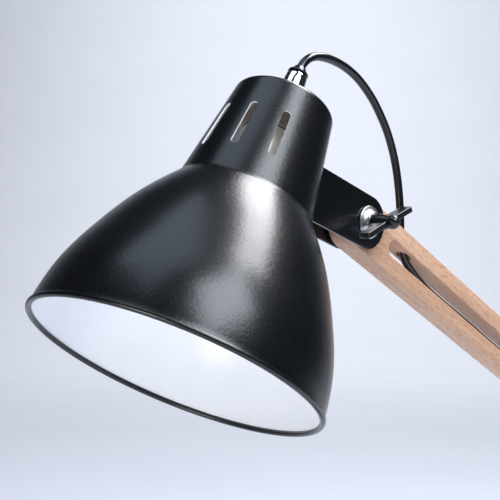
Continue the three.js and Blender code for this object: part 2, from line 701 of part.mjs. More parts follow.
// A slanted bore through the strip between an arm's slot and its edge: it starts on the edge on the
// pivot's side and runs down into the slot. facing is 1 when the pivot lies at lower X.
function cordHole(place, facing, edge) {
  const length = HALF_ARM * 2;
  const hole = bar(CORD_HOLE_RADIUS, -length / 2, length / 2, SMALL_SIDES);
  hole.rotateY(-facing * edge * rad(90 - CORD_HOLE_SLANT));
  const strip = (HALF_ARM + SLOT_WIDTH / 2) / 2;
  const clear = block(length * 2, ARM_WIDTH, length, 0, 0, edge * (length / 2));
  return common(hole.translate(place, 0, edge * strip), clear.translate(place, 0, 0));
}

function buildUpperArm() {
  const group = new THREE.Group();
  group.position.copy(headPivot);
  group.rotation.y = rad(UPPER_ARM_FALL);
  lamp.add(group);
  const half = SLOT_WIDTH / 2;
  const slot = stadium(SLOT_START + half, UPPER_ARM_SPAN - SLOT_START - half, half);
  const arm = cut(
    slab(stadium(0, UPPER_ARM_SPAN, HALF_ARM), UPPER_ARM_THICK),
    slab(slot, UPPER_ARM_THICK + OVERRUN, 5),
    crossBore(BOLT_HOLE),
    crossBore(BOLT_HOLE, UPPER_ARM_SPAN),
    cordHole(CORD_HOLE_PLACE, 1, 1),
    cordHole(UPPER_ARM_SPAN - CORD_HOLE_PLACE, -1, 1),
  );
  add(group, "upper_arm", arm, beech);
}

const NOSE_MIDDLE = LOWER_ARM_SPAN - ELBOW_SETBACK - HALF_ARM;
const LOWER_SLOT_END = LOWER_ARM_SPAN - LOWER_SLOT_SETBACK;
const LOWER_HOLE_PLACE = LOWER_SLOT_END - LOWER_HOLE_SETBACK;

function buildLowerArm() {
  const group = new THREE.Group();
  group.position.copy(footPivot);
  group.rotation.y = -rad(LOWER_ARM_RISE);
  lamp.add(group);
  const half = SLOT_WIDTH / 2;
  const slot = stadium(SLOT_START + half, LOWER_SLOT_END - half, half);
  const plateEnd = LOWER_ARM_SPAN - ELBOW_SETBACK - PLATE_OVERLAP;
  const rivetPlaces = [plateEnd + HALF_EAR, plateEnd + HALF_EAR + RIVET_SPACING];
  const rivetBores = rivetPlaces.map((place) => crossBore(RIVET_RADIUS + BOLT_CLEARANCE, place));
  const arm = cut(
    slab(stadium(0, NOSE_MIDDLE, HALF_ARM), LOWER_ARM_THICK),
    slab(slot, LOWER_ARM_THICK + OVERRUN, 5),
    crossBore(BOLT_HOLE),
    cordHole(CORD_HOLE_PLACE, 1, -1),
    cordHole(LOWER_HOLE_PLACE, -1, -1),
    ...rivetBores,
  );
  add(group, "lower_arm", arm, beech);

  const plate = cut(
    slab(stadium(plateEnd + HALF_EAR, LOWER_ARM_SPAN, HALF_EAR), EAR_THICK),
    crossBore(BOLT_HOLE, LOWER_ARM_SPAN),
    ...rivetBores,
  );
  const side = HEAD_INNER + EAR_THICK / 2;
  add(group, "elbow_plate_near", moved(plate, 0, -side, 0), blackPaint);
  add(group, "elbow_plate_far", moved(plate, 0, side, 0), blackPaint);
  for (const [i, name] of ["low", "high"].entries()) {
    const shank = towardsNuts(rivet(-HEAD_FACE, HEAD_FACE)).translate(rivetPlaces[i], 0, 0);
    add(group, "elbow_rivet_" + name, shank, satinSteel);
  }
  const hinge = new THREE.Group();
  hinge.position.x = LOWER_ARM_SPAN;
  group.add(hinge);
  hingeHardware(hinge, "elbow", UPPER_ARM_THICK, HEAD_FACE, WING_TURN - LOWER_ARM_RISE);
}

function buildBase() {
  const group = new THREE.Group();
  lamp.add(group);
  const padRadius = BASE_RADIUS - BASE_WALL - OVERRUN;
  const pad = bar(padRadius, 0, PAD_THICK, FINE_SIDES);
  add(group, "base_pad", pad, blackRubber);

  const weightTop = WEIGHT_LOW + WEIGHT_HEIGHT;
  const bossTop = BASE_HEIGHT - BASE_WALL - GAP;
  const weightRadius = padRadius - OVERRUN / 2;
  const weightProfile = [
    [0, WEIGHT_LOW],
    [weightRadius, WEIGHT_LOW],
    [weightRadius, weightTop],
    [BOSS_RADIUS, weightTop],
    [BOSS_RADIUS, bossTop],
    [0, bossTop],
  ];
  const screwPlaces = [-FORK_SCREW_SPACING / 2, FORK_SCREW_SPACING / 2];
  const screwLow = WEIGHT_LOW + WEIGHT_HEIGHT / 2;
  const screwBore = bar(SCREW_RADIUS + BOLT_CLEARANCE, screwLow - GAP, FORK_FLOOR + OVERRUN, SMALL_SIDES);
  const screwHoles = screwPlaces.map((place) => moved(screwBore, place, 0, 0));
  const channelWidth = (CORD_RADIUS + OVERRUN) * 2;
  const channelLow = GROMMET_PLACE - INNER_BEND_RADIUS;
  const channel = block(BASE_RADIUS, channelWidth, BASE_HEIGHT * 2);
  channel.translate(channelLow + BASE_RADIUS / 2, 0, 0);
  const weight = cut(turned(weightProfile, FINE_SIDES), ...screwHoles, channel);
  add(group, "base_weight", weight, castIron);

  const coverProfile = [];
  const edgeSteps = 3;
  for (const wall of [0, BASE_WALL]) {
    const line = [[BASE_RADIUS - wall, BASE_LIFT]];
    for (let i = 0; i <= edgeSteps; i++) {
      const angle = (Math.PI / 2) * (i / edgeSteps);
      line.push([
        BASE_RADIUS - BASE_EDGE_RADIUS + (BASE_EDGE_RADIUS - wall) * Math.cos(angle),
        BASE_HEIGHT - BASE_EDGE_RADIUS + (BASE_EDGE_RADIUS - wall) * Math.sin(angle),
      ]);
    }
    line.push([0, BASE_HEIGHT - wall]);
    coverProfile.push(...(wall ? line.reverse() : line));
  }
  coverProfile.push(coverProfile[0]);
  const grommetHole = bar(GROMMET_NECK_RADIUS + GAP, WEIGHT_LOW, BASE_HEIGHT + OVERRUN, SMALL_SIDES);
  const sleeveBore = bar(SLEEVE_NECK_RADIUS + GAP, GROMMET_PLACE, BASE_RADIUS + OVERRUN, SMALL_SIDES);
  const sleeveHole = alongX(sleeveBore);
  const cover = cut(
    turned(coverProfile, FINE_SIDES),
    ...screwHoles,
    grommetHole.translate(GROMMET_PLACE, 0, 0),
    sleeveHole.translate(0, 0, LEAD_EXIT_HEIGHT),
  );
  add(group, "base_cover", cover, blackPaint);

  const earHalf = HALF_ARM;
  const ears = [-1, 1].map((side) => {
    const round = slab(stadium(0, 0, earHalf), FORK_THICK).translate(0, 0, footPivot.z);
    const height = footPivot.z - FORK_LOW;
    const straight = block(ARM_WIDTH, FORK_THICK, height, 0, 0, FORK_LOW + height / 2);
    return join(round, straight).translate(0, side * (FOOT_INNER + FORK_THICK / 2), 0);
  });
  const floor = block(ARM_WIDTH, FOOT_FACE * 2, FORK_THICK, 0, 0, FORK_LOW + FORK_THICK / 2);
  const fork = cut(
    join(floor, ...ears),
    crossBore(BOLT_HOLE, 0, footPivot.z),
    ...screwHoles,
  );
  add(group, "base_fork", fork, blackPaint);
  for (const [i, name] of ["front", "rear"].entries()) {
    const profile = [
      [0, screwLow],
      [SCREW_RADIUS, screwLow],
      [SCREW_RADIUS, FORK_FLOOR + GAP],
      [SCREW_HEAD_RADIUS, FORK_FLOOR + GAP],
      [SCREW_HEAD_RADIUS, FORK_FLOOR + GAP + SCREW_HEAD_HEIGHT * 0.5],
      [SCREW_HEAD_RADIUS * 0.6, FORK_FLOOR + GAP + SCREW_HEAD_HEIGHT],
      [0, FORK_FLOOR + GAP + SCREW_HEAD_HEIGHT],
    ];
    const screw = turned(profile, SMALL_SIDES).translate(screwPlaces[i], 0, 0);
    add(group, "fork_screw_" + name, screw, satinSteel);
  }
  const hinge = new THREE.Group();
  hinge.position.copy(footPivot);
  lamp.add(hinge);
  hingeHardware(hinge, "base", LOWER_ARM_THICK, FOOT_FACE, WING_TURN);

  const sheetLow = BASE_HEIGHT - BASE_WALL - GAP;
  const sheetHigh = BASE_HEIGHT + GAP;
  const grommetProfile = [
    [CORD_BORE, sheetLow - GROMMET_LIP],
    [GROMMET_RADIUS, sheetLow - GROMMET_LIP],
    [GROMMET_RADIUS, sheetLow],
    [GROMMET_NECK_RADIUS, sheetLow],
    [GROMMET_NECK_RADIUS, sheetHigh],
    [GROMMET_RADIUS, sheetHigh],
    [GROMMET_RADIUS * 0.8, sheetHigh + GROMMET_LIP],
    [CORD_BORE, sheetHigh + GROMMET_LIP],
    [CORD_BORE, sheetLow - GROMMET_LIP],
  ];
  const grommet = turned(grommetProfile, SMALL_SIDES).translate(GROMMET_PLACE, 0, 0);
  add(group, "base_grommet", grommet, blackRubber);

  // The strain relief: a collar behind the wall, a neck through it and a long taper outside
  const wallIn = BASE_RADIUS - BASE_WALL - GAP;
  const wallOut = BASE_RADIUS + GAP;
  const sleeveProfile = [
    [CORD_BORE, wallIn - OVERRUN],
    [SLEEVE_RADIUS, wallIn - OVERRUN],
    [SLEEVE_RADIUS, wallIn - GAP],
    [SLEEVE_NECK_RADIUS, wallIn - GAP],
    [SLEEVE_NECK_RADIUS, wallOut],
    [SLEEVE_RADIUS, wallOut],
    [SLEEVE_RADIUS, wallOut + OVERRUN],
    [SLEEVE_TIP_RADIUS, SLEEVE_END],
    [CORD_BORE, SLEEVE_END],
    [CORD_BORE, wallIn - OVERRUN],
  ];
  const sleeve = alongX(turned(sleeveProfile, SMALL_SIDES)).translate(0, 0, LEAD_EXIT_HEIGHT);
  add(group, "base_strain_relief", sleeve, blackRubber);
}
const SLEEVE_END = BASE_RADIUS + GAP + SLEEVE_LENGTH;

// A smooth path through hand-chosen points. It is divided at those points, not evenly.
class HandChosenPath extends THREE.CatmullRomCurve3 {
  getPointAt(share, target) {
    return this.getPoint(share, target);
  }
  getTangentAt(share, target) {
    return this.getTangent(share, target);
  }
}

// A round cord along hand-chosen points, its ends square to its path.
function cord(points) {
  const extrudePath = new HandChosenPath(points.map((p) => new THREE.Vector3(...p)), false, "centripetal");
  const section = new THREE.Shape();
  for (let i = 0; i < CORD_SIDES; i++) {
    const angle = (Math.PI * 2 * (i + 0.5)) / CORD_SIDES;
    section[i ? "lineTo" : "moveTo"](CORD_RADIUS * Math.cos(angle), CORD_RADIUS * Math.sin(angle));
  }
  section.closePath();
  const steps = points.length - 1;
  return new THREE.ExtrudeGeometry(section, { steps, extrudePath, bevelEnabled: false });
}

// Points given in a group's own frame, in the lamp's frame
function placed(points, group) {
  group.updateMatrix();
  return points.map(([x, y, z]) => new THREE.Vector3(x, y, z).applyMatrix4(group.matrix).toArray());
}

function frameAt(position, angle) {
  const frame = new THREE.Group();
  frame.position.copy(position);
  frame.rotation.y = rad(angle);
  return frame;
}

// Routes of the lead. Each list is chosen by hand: x, y, z.
// Through the cable entry and over the head, seen from the head's pivot
const HEAD_ROUTE = [
  [-83.9, 0, 49.5], [-60.6, 0, 92.1], [-56.6, 0, 97.4], [-51.8, 0, 101.1], [-46, 0, 103.5],
  [-39, 0, 104.6], [-30, 0, 104.6], [-20, 0, 103.4], [-10, 0, 100.9], [0, 0, 96.9], [9.5, 0, 91.2],
  [18.5, 0, 84.3], [26.3, 0, 76.4], [33.6, 0, 67.6], [39.6, 0, 58.2], [44.6, 0, 47.8],
  [48.5, 0, 36.5], [51.4, 0, 24.5], [53.4, 0, 12], [54.4, 0, 0.5], [54.4, 0, -5.9], [54.7, 0, -8.9],
];
// Through the upper arm, in the arm's own frame: along it, across it, above its middle line
const UPPER_ROUTE = [
  [53.6, 0, 14.6], [55.2, 0, 12.1], [58.9, 0, 8], [66.3, 0, 3.3], [76, 0, 0.9], [87, 0, -1.2],
  [100, 0, -2.6], [165, 0, -2.6], [230, 0, -2.6],
  [243, 0, -1.2], [254, 0, 0.9], [263.7, 0, 3.3], [271.1, 0, 8], [274.8, 0, 12.1], [276.4, 0, 14.6],
];
// Over the elbow, seen from the elbow's bolt
const ELBOW_ROUTE = [
  [-42.3, 0, 35.8], [-39.8, 0, 37.4], [-33.6, 0, 43.8], [-24, 0, 52], [-10.5, 0, 58.2], [6, 0, 60.2],
  [24, 0, 57], [40.5, 0, 48], [53.5, 0, 33.5], [61, 0, 14.5], [62.3, 0, -6], [58.5, 0, -27],
  [50, 0, -47], [37, 0, -65.5], [21, 0, -80], [4.5, 0, -89.2], [-12.9, 0, -92],
  [-21.7, 0, -91.4], [-24.6, 0, -91.85],
];
// Through the lower arm, in the arm's own frame, from its upper end to its foot
const LOWER_ROUTE = [
  [235.9, 0, -14.6], [234.3, 0, -12.1], [230.6, 0, -8], [223.2, 0, -3.3], [212.5, 0, -1.3], [197.5, 0, -1.8],
  [170, 0, -2.6], [120, 0, -2.6],
  [92, 0, -1.8], [77, 0, -1.3], [66.3, 0, -3.3], [58.9, 0, -8], [55.2, 0, -12.1], [53.6, 0, -14.6],
];
// From the foot of the lower arm into the grommet, seen from the base's middle
const FOOT_ROUTE = [
  [35.3, 0, 93.6], [36.9, 0, 91.1], [43.4, 0, 84.8], [51.4, 0, 75.4], [57.4, 0, 64.7], [60.9, 0, 52.8],
  [62, 0, 40], [62, 0, 24.4],
];
// From the sleeve along the table to the switch
const RUN_ROUTE = [
  [121.3, 0, 9], [133, -0.6, 8.8], [147, -3, 7.2], [163, -6.3, 4.6], [181, -9.4, 3], [199, -9, 3],
  [216, -4.3, 3], [230, 6, 3], [239.3, 22, 3], [241.7, 40, 3], [238, 64, 3], [226.5, 86, 3],
  [208, 103.5, 3], [186, 116, 3], [163, 123.3, 4.2], [148, 126, 6.8], [134.5, 127, 9],
];
// From the switch to the coil, and from the coil to the plug
const TAIL_ROUTE = [
  [75.5, 127, 9], [63, 127.5, 7.8], [47, 128.3, 5.4], [28, 128.5, 4.5], [0.9, 128.5, 4.5],
];
const END_ROUTE = [
  [0.9, 211.5, 10.7], [16, 211.4, 10], [32, 208.8, 8.3], [46, 204.4, 7.2], [54, 203.1, 7], [60.6, 203, 7],
];

const COIL_LOW = TIE_THICK + GAP * 3 + CORD_RADIUS;
const COIL_INNER = COIL_MEAN_RADIUS - (COIL_PITCH * COIL_TURNS_PER_LAYER) / 2;

// The coil's path: spiral in, climb in the half turn where it reverses, spiral out on top.
function coilPath() {
  const points = [];
  const layer = COIL_TURNS_PER_LAYER * COIL_STEPS_PER_TURN;
  const climb = COIL_STEPS_PER_TURN / 2;
  const total = layer * 2 + climb;
  const perStep = COIL_PITCH / COIL_STEPS_PER_TURN;
  for (let i = 0; i <= total; i++) {
    const rise = Math.min(Math.max((i - layer) / climb, 0), 1);
    const eased = rise * rise * (3 - 2 * rise);
    const dip = (COIL_PITCH / (2 * Math.PI)) * Math.sin(Math.PI * rise);
    const out = i < layer ? (layer - i) * perStep : Math.max(i - layer - climb, 0) * perStep;
    const radius = COIL_INNER + out - dip;
    const angle = -Math.PI / 2 - (i * 2 * Math.PI) / COIL_STEPS_PER_TURN;
    points.push(
      new THREE.Vector3(
        COIL_MIDDLE[0] + radius * Math.cos(angle),
        COIL_MIDDLE[1] + radius * Math.sin(angle),
        COIL_LOW + COIL_LAYER_RISE * eased,
      ),
    );
  }
  // Each end runs straight for one diameter
  const first = points[0].clone();
  first.x += CORD_RADIUS * 2;
  const last = points[points.length - 1].clone();
  last.x += CORD_RADIUS * 2;
  return [first, ...points, last];
}

// The least distance between the surfaces of loops that aren't neighbours along the cord
function leastSelfGap(path) {
  let least = Infinity;
  for (let i = 0; i < path.length; i++) {
    for (let j = i + COIL_STEPS_PER_TURN / 2; j < path.length; j++) {
      least = Math.min(least, path[i].distanceTo(path[j]));
    }
  }
  return least - CORD_RADIUS * 2;
}

// A tube along a nearly level path, with square ends.
function coilTube(path) {
  const up = new THREE.Vector3(0, 0, 1);
  const corners = [];
  const faces = [];
  const sides = COIL_SIDES;
  path.forEach((point, i) => {
    const before = path[Math.max(i - 1, 0)];
    const after = path[Math.min(i + 1, path.length - 1)];
    const way = after.clone().sub(before).normalize();
    const side = way.clone().cross(up).normalize();
    const high = side.clone().cross(way);
    for (let k = 0; k < sides; k++) {
      const angle = (2 * Math.PI * k) / sides;
      const corner = point
        .clone()
        .addScaledVector(side, CORD_RADIUS * Math.cos(angle))
        .addScaledVector(high, CORD_RADIUS * Math.sin(angle));
      corners.push(...corner.toArray());
      const next = (k + 1) % sides;
      if (i) {
        const back = (i - 1) * sides;
        const here = i * sides;
        faces.push(back + k, here + k, here + next, back + k, here + next, back + next);
      }
    }
  });
  for (let k = 1; k < sides - 1; k++) {
    const end = (path.length - 1) * sides;
    faces.push(0, k, k + 1, end, end + k + 1, end + k);
  }
  const tube = new THREE.BufferGeometry();
  tube.setAttribute("position", new THREE.Float32BufferAttribute(corners, 3));
  tube.setIndex(faces);
  return geometryOf(solidOf(tube));
}

function buildLead() {
  const seenFrom = (pivot) => frameAt(pivot, 0);
  const leads = {
    head_lead: placed(HEAD_ROUTE, seenFrom(headPivot)),
    upper_arm_lead: placed(UPPER_ROUTE, frameAt(headPivot, UPPER_ARM_FALL)),
    elbow_lead: placed(ELBOW_ROUTE, seenFrom(elbowPivot)),
    lower_arm_lead: placed(LOWER_ROUTE, frameAt(footPivot, -LOWER_ARM_RISE)),
    base_lead: FOOT_ROUTE,
    base_inner_lead: innerRoute(),
    mains_lead_run: RUN_ROUTE,
    mains_lead_tail: TAIL_ROUTE,
    mains_lead_end: END_ROUTE,
  };
  for (const [name, points] of Object.entries(leads)) add(lamp, name, cord(points), blackPvc);
  const path = coilPath();
  console.log("least gap between the coil's loops, mm:", leastSelfGap(path).toFixed(2));
  add(lamp, "mains_lead_coil", coilTube(path), blackPvc);

  // A flat tie round the bundle, on the side of +X, away from the climb
  const deep = COIL_PITCH * (COIL_TURNS_PER_LAYER - 1) + CORD_RADIUS * 2 + GAP * 2;
  const high = COIL_LAYER_RISE + CORD_RADIUS * 2 + GAP * 2;
  const band = cut(
    block(deep + TIE_THICK * 2, TIE_WIDTH, high + TIE_THICK * 2),
    block(deep, TIE_WIDTH + OVERRUN, high),
  );
  const bundle = COIL_INNER + (COIL_PITCH * (COIL_TURNS_PER_LAYER - 1 / 2)) / 2;
  band.translate(COIL_MIDDLE[0] + bundle, COIL_MIDDLE[1], COIL_LOW + COIL_LAYER_RISE / 2);
  add(lamp, "coil_tie", band, blackNylon);
}

// Inside the base: down through the grommet, round a quarter bend and out through the sleeve.
function innerRoute() {
  const top = FOOT_ROUTE[FOOT_ROUTE.length - 1][2] - GAP;
  const points = [[GROMMET_PLACE, 0, top]];
  const bendSteps = 5;
  for (let i = 0; i <= bendSteps; i++) {
    const angle = (Math.PI / 2) * (i / bendSteps);
    points.push([
      GROMMET_PLACE + INNER_BEND_RADIUS * (1 - Math.cos(angle)),
      0,
      LEAD_EXIT_HEIGHT + INNER_BEND_RADIUS * (1 - Math.sin(angle)),
    ]);
  }
  points.push([BASE_RADIUS, 0, LEAD_EXIT_HEIGHT]);
  points.push([RUN_ROUTE[0][0] - GAP, 0, LEAD_EXIT_HEIGHT]);
  return points;
}

// The switch on the lead: two half shells and a rocker.
function buildSwitch() {
  const group = new THREE.Group();
  group.position.set(SWITCH_MIDDLE[0], SWITCH_MIDDLE[1], 0);
  lamp.add(group);
  const middle = SWITCH_HEIGHT / 2;
  const end = SWITCH_WIDTH * 0.35;
  const outline = (inset) => {
    const halfLong = SWITCH_LENGTH / 2 - inset;
    const halfWide = SWITCH_WIDTH / 2 - inset;
    const shape = new THREE.Shape();
    shape.moveTo(-halfLong + end, -halfWide);
    shape.lineTo(halfLong - end, -halfWide);
    shape.quadraticCurveTo(halfLong, -halfWide, halfLong, 0);
    shape.quadraticCurveTo(halfLong, halfWide, halfLong - end, halfWide);
    shape.lineTo(-halfLong + end, halfWide);
    shape.quadraticCurveTo(-halfLong, halfWide, -halfLong, 0);
    shape.quadraticCurveTo(-halfLong, -halfWide, end - halfLong, -halfWide);
    return shape;
  };
  const layer = (inset, low, high) =>
    new THREE.ExtrudeGeometry(outline(inset), { depth: high - low, bevelEnabled: false, curveSegments: 5 })
      .translate(0, 0, low);
  const halfGap = GAP / 2;
  const bottom = cut(
    layer(0, 0, middle - halfGap),
    layer(SWITCH_WALL, SWITCH_WALL, middle + OVERRUN),
  );
  add(group, "switch_bottom", bottom, blackNylon);
  const window = block(
    ROCKER_LENGTH + ROCKER_CLEARANCE * 2,
    ROCKER_WIDTH + ROCKER_CLEARANCE * 2,
    SWITCH_HEIGHT,
    0,
    0,
    SWITCH_HEIGHT,
  );
  const top = cut(
    layer(0, middle + halfGap, SWITCH_HEIGHT),
    layer(SWITCH_WALL, middle - OVERRUN, SWITCH_HEIGHT - SWITCH_WALL),
    window,
  );
  add(group, "switch_top", top, blackNylon);

  const halfRocker = ROCKER_LENGTH / 2;
  const profile = new THREE.Shape();
  profile.moveTo(-halfRocker, ROCKER_PROUD);
  profile.lineTo(0, -ROCKER_PROUD / 3);
  profile.lineTo(halfRocker, ROCKER_PROUD);
  profile.lineTo(halfRocker * 0.9, -ROCKER_DEPTH * 0.5);
  profile.lineTo(halfRocker * 0.3, -ROCKER_DEPTH);
  profile.lineTo(-halfRocker * 0.3, -ROCKER_DEPTH);
  profile.lineTo(-halfRocker * 0.9, -ROCKER_DEPTH * 0.5);
  profile.closePath();
  const rocker = add(group, "switch_rocker", slab(profile, ROCKER_WIDTH), blackNylon);
  rocker.position.z = SWITCH_HEIGHT;
  rocker.rotation.y = rad(ROCKER_TILT);
}

// The plug: a flat two-pin body with a tapered neck for the lead.
function buildPlug() {
  const group = new THREE.Group();
  group.position.set(PLUG_PLACE[0], PLUG_PLACE[1], PLUG_THICK / 2 + GAP / 3);
  lamp.add(group);
  const bodyLow = PLUG_NECK_LENGTH;
  const bodyHigh = PLUG_NECK_LENGTH + PLUG_LENGTH;
  const outline = new THREE.Shape();
  outline.moveTo(bodyLow, -PLUG_NECK_RADIUS);
  outline.lineTo(bodyLow + PLUG_LENGTH * 0.3, -PLUG_WIDTH / 2);
  outline.lineTo(bodyHigh - PLUG_EDGE, -PLUG_WIDTH / 2);
  outline.lineTo(bodyHigh, -PLUG_FACE_WIDTH / 2);
  outline.lineTo(bodyHigh, PLUG_FACE_WIDTH / 2);
  outline.lineTo(bodyHigh - PLUG_EDGE, PLUG_WIDTH / 2);
  outline.lineTo(bodyLow + PLUG_LENGTH * 0.3, PLUG_WIDTH / 2);
  outline.lineTo(bodyLow, PLUG_NECK_RADIUS);
  outline.closePath();
  const body = new THREE.ExtrudeGeometry(outline, { depth: PLUG_THICK, bevelEnabled: false });
  body.translate(0, 0, -PLUG_THICK / 2);
  const neckProfile = [
    [0, 0],
    [PLUG_NECK_TIP_RADIUS, 0],
    [PLUG_NECK_RADIUS, PLUG_NECK_LENGTH],
    [PLUG_NECK_RADIUS, PLUG_NECK_LENGTH + PLUG_EDGE],
    [0, PLUG_NECK_LENGTH + PLUG_EDGE],
  ];
  const neck = alongX(turned(neckProfile, SMALL_SIDES));
  add(group, "plug_body", join(body, neck), blackRubber);
  for (const [name, side] of [["left", 1], ["right", -1]]) {
    const profile = [
      [0, bodyHigh + GAP],
      [PIN_RADIUS, bodyHigh + GAP],
      [PIN_RADIUS, bodyHigh + PIN_LENGTH - PIN_RADIUS / 2],
      [PIN_RADIUS / 2, bodyHigh + PIN_LENGTH],
      [0, bodyHigh + PIN_LENGTH],
    ];
    const pin = alongX(turned(profile, SMALL_SIDES)).translate(0, (side * PIN_SPACING) / 2, 0);
    add(group, "plug_pin_" + name, pin, brass);
  }
}

buildBase();
buildLowerArm();
buildUpperArm();
buildHead();
buildLead();
buildSwitch();
buildPlug();

export default lamp;
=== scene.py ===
# %% [markdown]
# # A table lamp in black steel and beech
# The CAD model holds every size, every joint and every hinge bolt of this lamp. This script gives it
# its looks: finer shapes over the plain solids, the lead at its full length, and a finish for each
# surface. It reads from top to bottom as a lesson, one piece at a time.

# %% Load the frame
import itertools
import json
import math

import bmesh
import bpy
import numpy as np
from mathutils import Matrix, Quaternion, Vector, geometry


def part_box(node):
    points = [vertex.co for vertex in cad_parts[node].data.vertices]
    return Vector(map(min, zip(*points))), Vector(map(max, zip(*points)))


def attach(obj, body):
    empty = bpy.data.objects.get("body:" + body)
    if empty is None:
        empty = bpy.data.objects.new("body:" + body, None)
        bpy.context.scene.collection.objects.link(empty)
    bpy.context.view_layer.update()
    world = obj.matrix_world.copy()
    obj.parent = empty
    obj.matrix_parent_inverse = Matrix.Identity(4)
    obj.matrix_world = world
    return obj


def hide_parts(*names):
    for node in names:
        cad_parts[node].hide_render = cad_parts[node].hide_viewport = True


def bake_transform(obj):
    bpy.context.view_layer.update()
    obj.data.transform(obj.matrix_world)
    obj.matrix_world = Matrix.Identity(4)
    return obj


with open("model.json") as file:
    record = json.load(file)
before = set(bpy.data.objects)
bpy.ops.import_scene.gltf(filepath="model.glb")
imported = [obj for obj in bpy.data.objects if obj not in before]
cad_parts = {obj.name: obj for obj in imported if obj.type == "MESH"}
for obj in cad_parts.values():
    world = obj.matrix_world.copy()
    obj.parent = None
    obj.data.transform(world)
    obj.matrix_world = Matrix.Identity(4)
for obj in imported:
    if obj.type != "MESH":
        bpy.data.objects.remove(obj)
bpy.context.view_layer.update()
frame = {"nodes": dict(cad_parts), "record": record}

# %% [markdown]
# ## Where the pieces are
# The lamp is drawn in millimetres, as on a workshop drawing, and Blender works in metres. Each moving
# part also has a frame of its own: along an arm, or along the shade's axis. A piece is then drawn
# straight and simple, and the frame puts it in place.

# %% The driving sizes and the frames of the moving parts
MM = 0.001
LOWER_ARM_RISE = 66  # degrees above the table
UPPER_ARM_FALL = 24.73  # degrees below level, from the head to the elbow
SHADE_LEAN = 28.65  # degrees of the shade's axis from upright
EAR_LIFT = 13.08  # degrees of the bracket's ears above the mouth
ARM_SPAN = 330  # between the bolts of either arm
FOOT_BOLT_HEIGHT = 50.8
PIVOT_FROM_AXIS = 97.3  # of the head's bolt from the shade's axis
PIVOT_FROM_MOUTH = 154.8


def frame_at(origin, turn):
    """The frame of a part whose origin is given in millimetres and that is turned about Y."""
    return Matrix.Translation(Vector(origin) * MM) @ Matrix.Rotation(math.radians(turn), 4, "Y")


def polar(length, angle):
    """A step in the lamp's middle plane, at an angle above +X."""
    return Vector((length * math.cos(math.radians(angle)), 0, length * math.sin(math.radians(angle))))


FOOT = Vector((0, 0, FOOT_BOLT_HEIGHT))
ELBOW = FOOT + polar(ARM_SPAN, LOWER_ARM_RISE)
HEAD = ELBOW - polar(ARM_SPAN, -UPPER_ARM_FALL)
LAMP = Matrix.Identity(4)
LOWER_ARM = frame_at(FOOT, -LOWER_ARM_RISE)
UPPER_ARM = frame_at(HEAD, UPPER_ARM_FALL)
SHADE = frame_at(HEAD, SHADE_LEAN) @ Matrix.Translation(
    Vector((-PIVOT_FROM_AXIS, 0, -PIVOT_FROM_MOUTH)) * MM
)
ALONG_X = Matrix.Rotation(math.pi / 2, 4, "Y")
TOWARDS_NUTS = Matrix.Rotation(math.pi / 2, 4, "X")
print("elbow at", [round(v, 1) for v in ELBOW], "head's bolt at", [round(v, 1) for v in HEAD])


def shift(x=0.0, y=0.0, z=0.0):
    """A move in millimetres."""
    return Matrix.Translation(Vector((x, y, z)) * MM)


# %% [markdown]
# ## The camera
# The photograph was taken from close by, level with the head and on the side of the wing nuts, with
# the camera leaning over by a degree and a half. Its place and lens were found by matching the outline
# of the shade, both edges of the mouth and the lines of the bracket and the arm. A quaternion holds its
# turn, because the way it looks and its lean are then two plain steps.

# %% Place the camera
CAMERA_PLACE = (-692.47, -399.10, 457.32)
CAMERA_BACK = (-0.72821, -0.68504, -0.02080)
CAMERA_ROLL = 1.606
LENS = 70.715
SENSOR = 36.0
SHIFT = (0.0036, -0.0030)


def place_camera():
    """A camera at its place, looking along its own back and leaning by its roll."""
    data = bpy.data.cameras.new("camera")
    data.lens = LENS
    data.sensor_width = SENSOR
    data.shift_x, data.shift_y = SHIFT
    data.clip_start = 0.01
    camera = bpy.data.objects.new("camera", data)
    bpy.context.scene.collection.objects.link(camera)
    camera.location = Vector(CAMERA_PLACE) * MM
    camera.rotation_mode = "QUATERNION"
    roll = Quaternion((0, 0, 1), math.radians(CAMERA_ROLL))
    camera.rotation_quaternion = Vector(CAMERA_BACK).to_track_quat("Z", "Y") @ roll
    bpy.context.scene.camera = camera
    return camera


camera = place_camera()
print("camera:", camera.name, "lens", LENS, "mm")

# %% [markdown]
# ## From points to a finished piece
# Every piece below ends as a plain mesh whose object sits at the origin, so that a finish that is
# mapped on Object coordinates keeps its scale. One helper makes the mesh, points its faces outwards,
# smooths what is round and keeps the sharp edges.

# %% Turn points and faces into an object
SMOOTH_ANGLE = math.radians(35)


def piece_from(name, points, faces, materials, place=LAMP, face_materials=None, corner_uvs=None):
    """An object from points in millimetres, which `place` puts into the lamp."""
    mesh = bpy.data.meshes.new(name)
    mesh.from_pydata([place @ (Vector(p) * MM) for p in points], [], faces)
    for material in materials:
        mesh.materials.append(material)
    if face_materials is not None:
        mesh.polygons.foreach_set("material_index", face_materials)
    if corner_uvs is not None:
        layer = mesh.uv_layers.new(name="UVMap")
        layer.data.foreach_set("uv", np.asarray(corner_uvs, np.float32).ravel())
    point_outwards(mesh)
    smooth(mesh)
    made = bpy.data.objects.new(name, mesh)
    bpy.context.scene.collection.objects.link(made)
    return made


def point_outwards(mesh):
    """Merges doubled corners first, so that every face finds its neighbours."""
    work = bmesh.new()
    work.from_mesh(mesh)
    bmesh.ops.remove_doubles(work, verts=work.verts, dist=1e-7)
    bmesh.ops.recalc_face_normals(work, faces=work.faces)
    work.to_mesh(mesh)
    work.free()


def smooth(mesh):
    mesh.shade_smooth()
    mesh.set_sharp_from_angle(angle=SMOOTH_ANGLE)


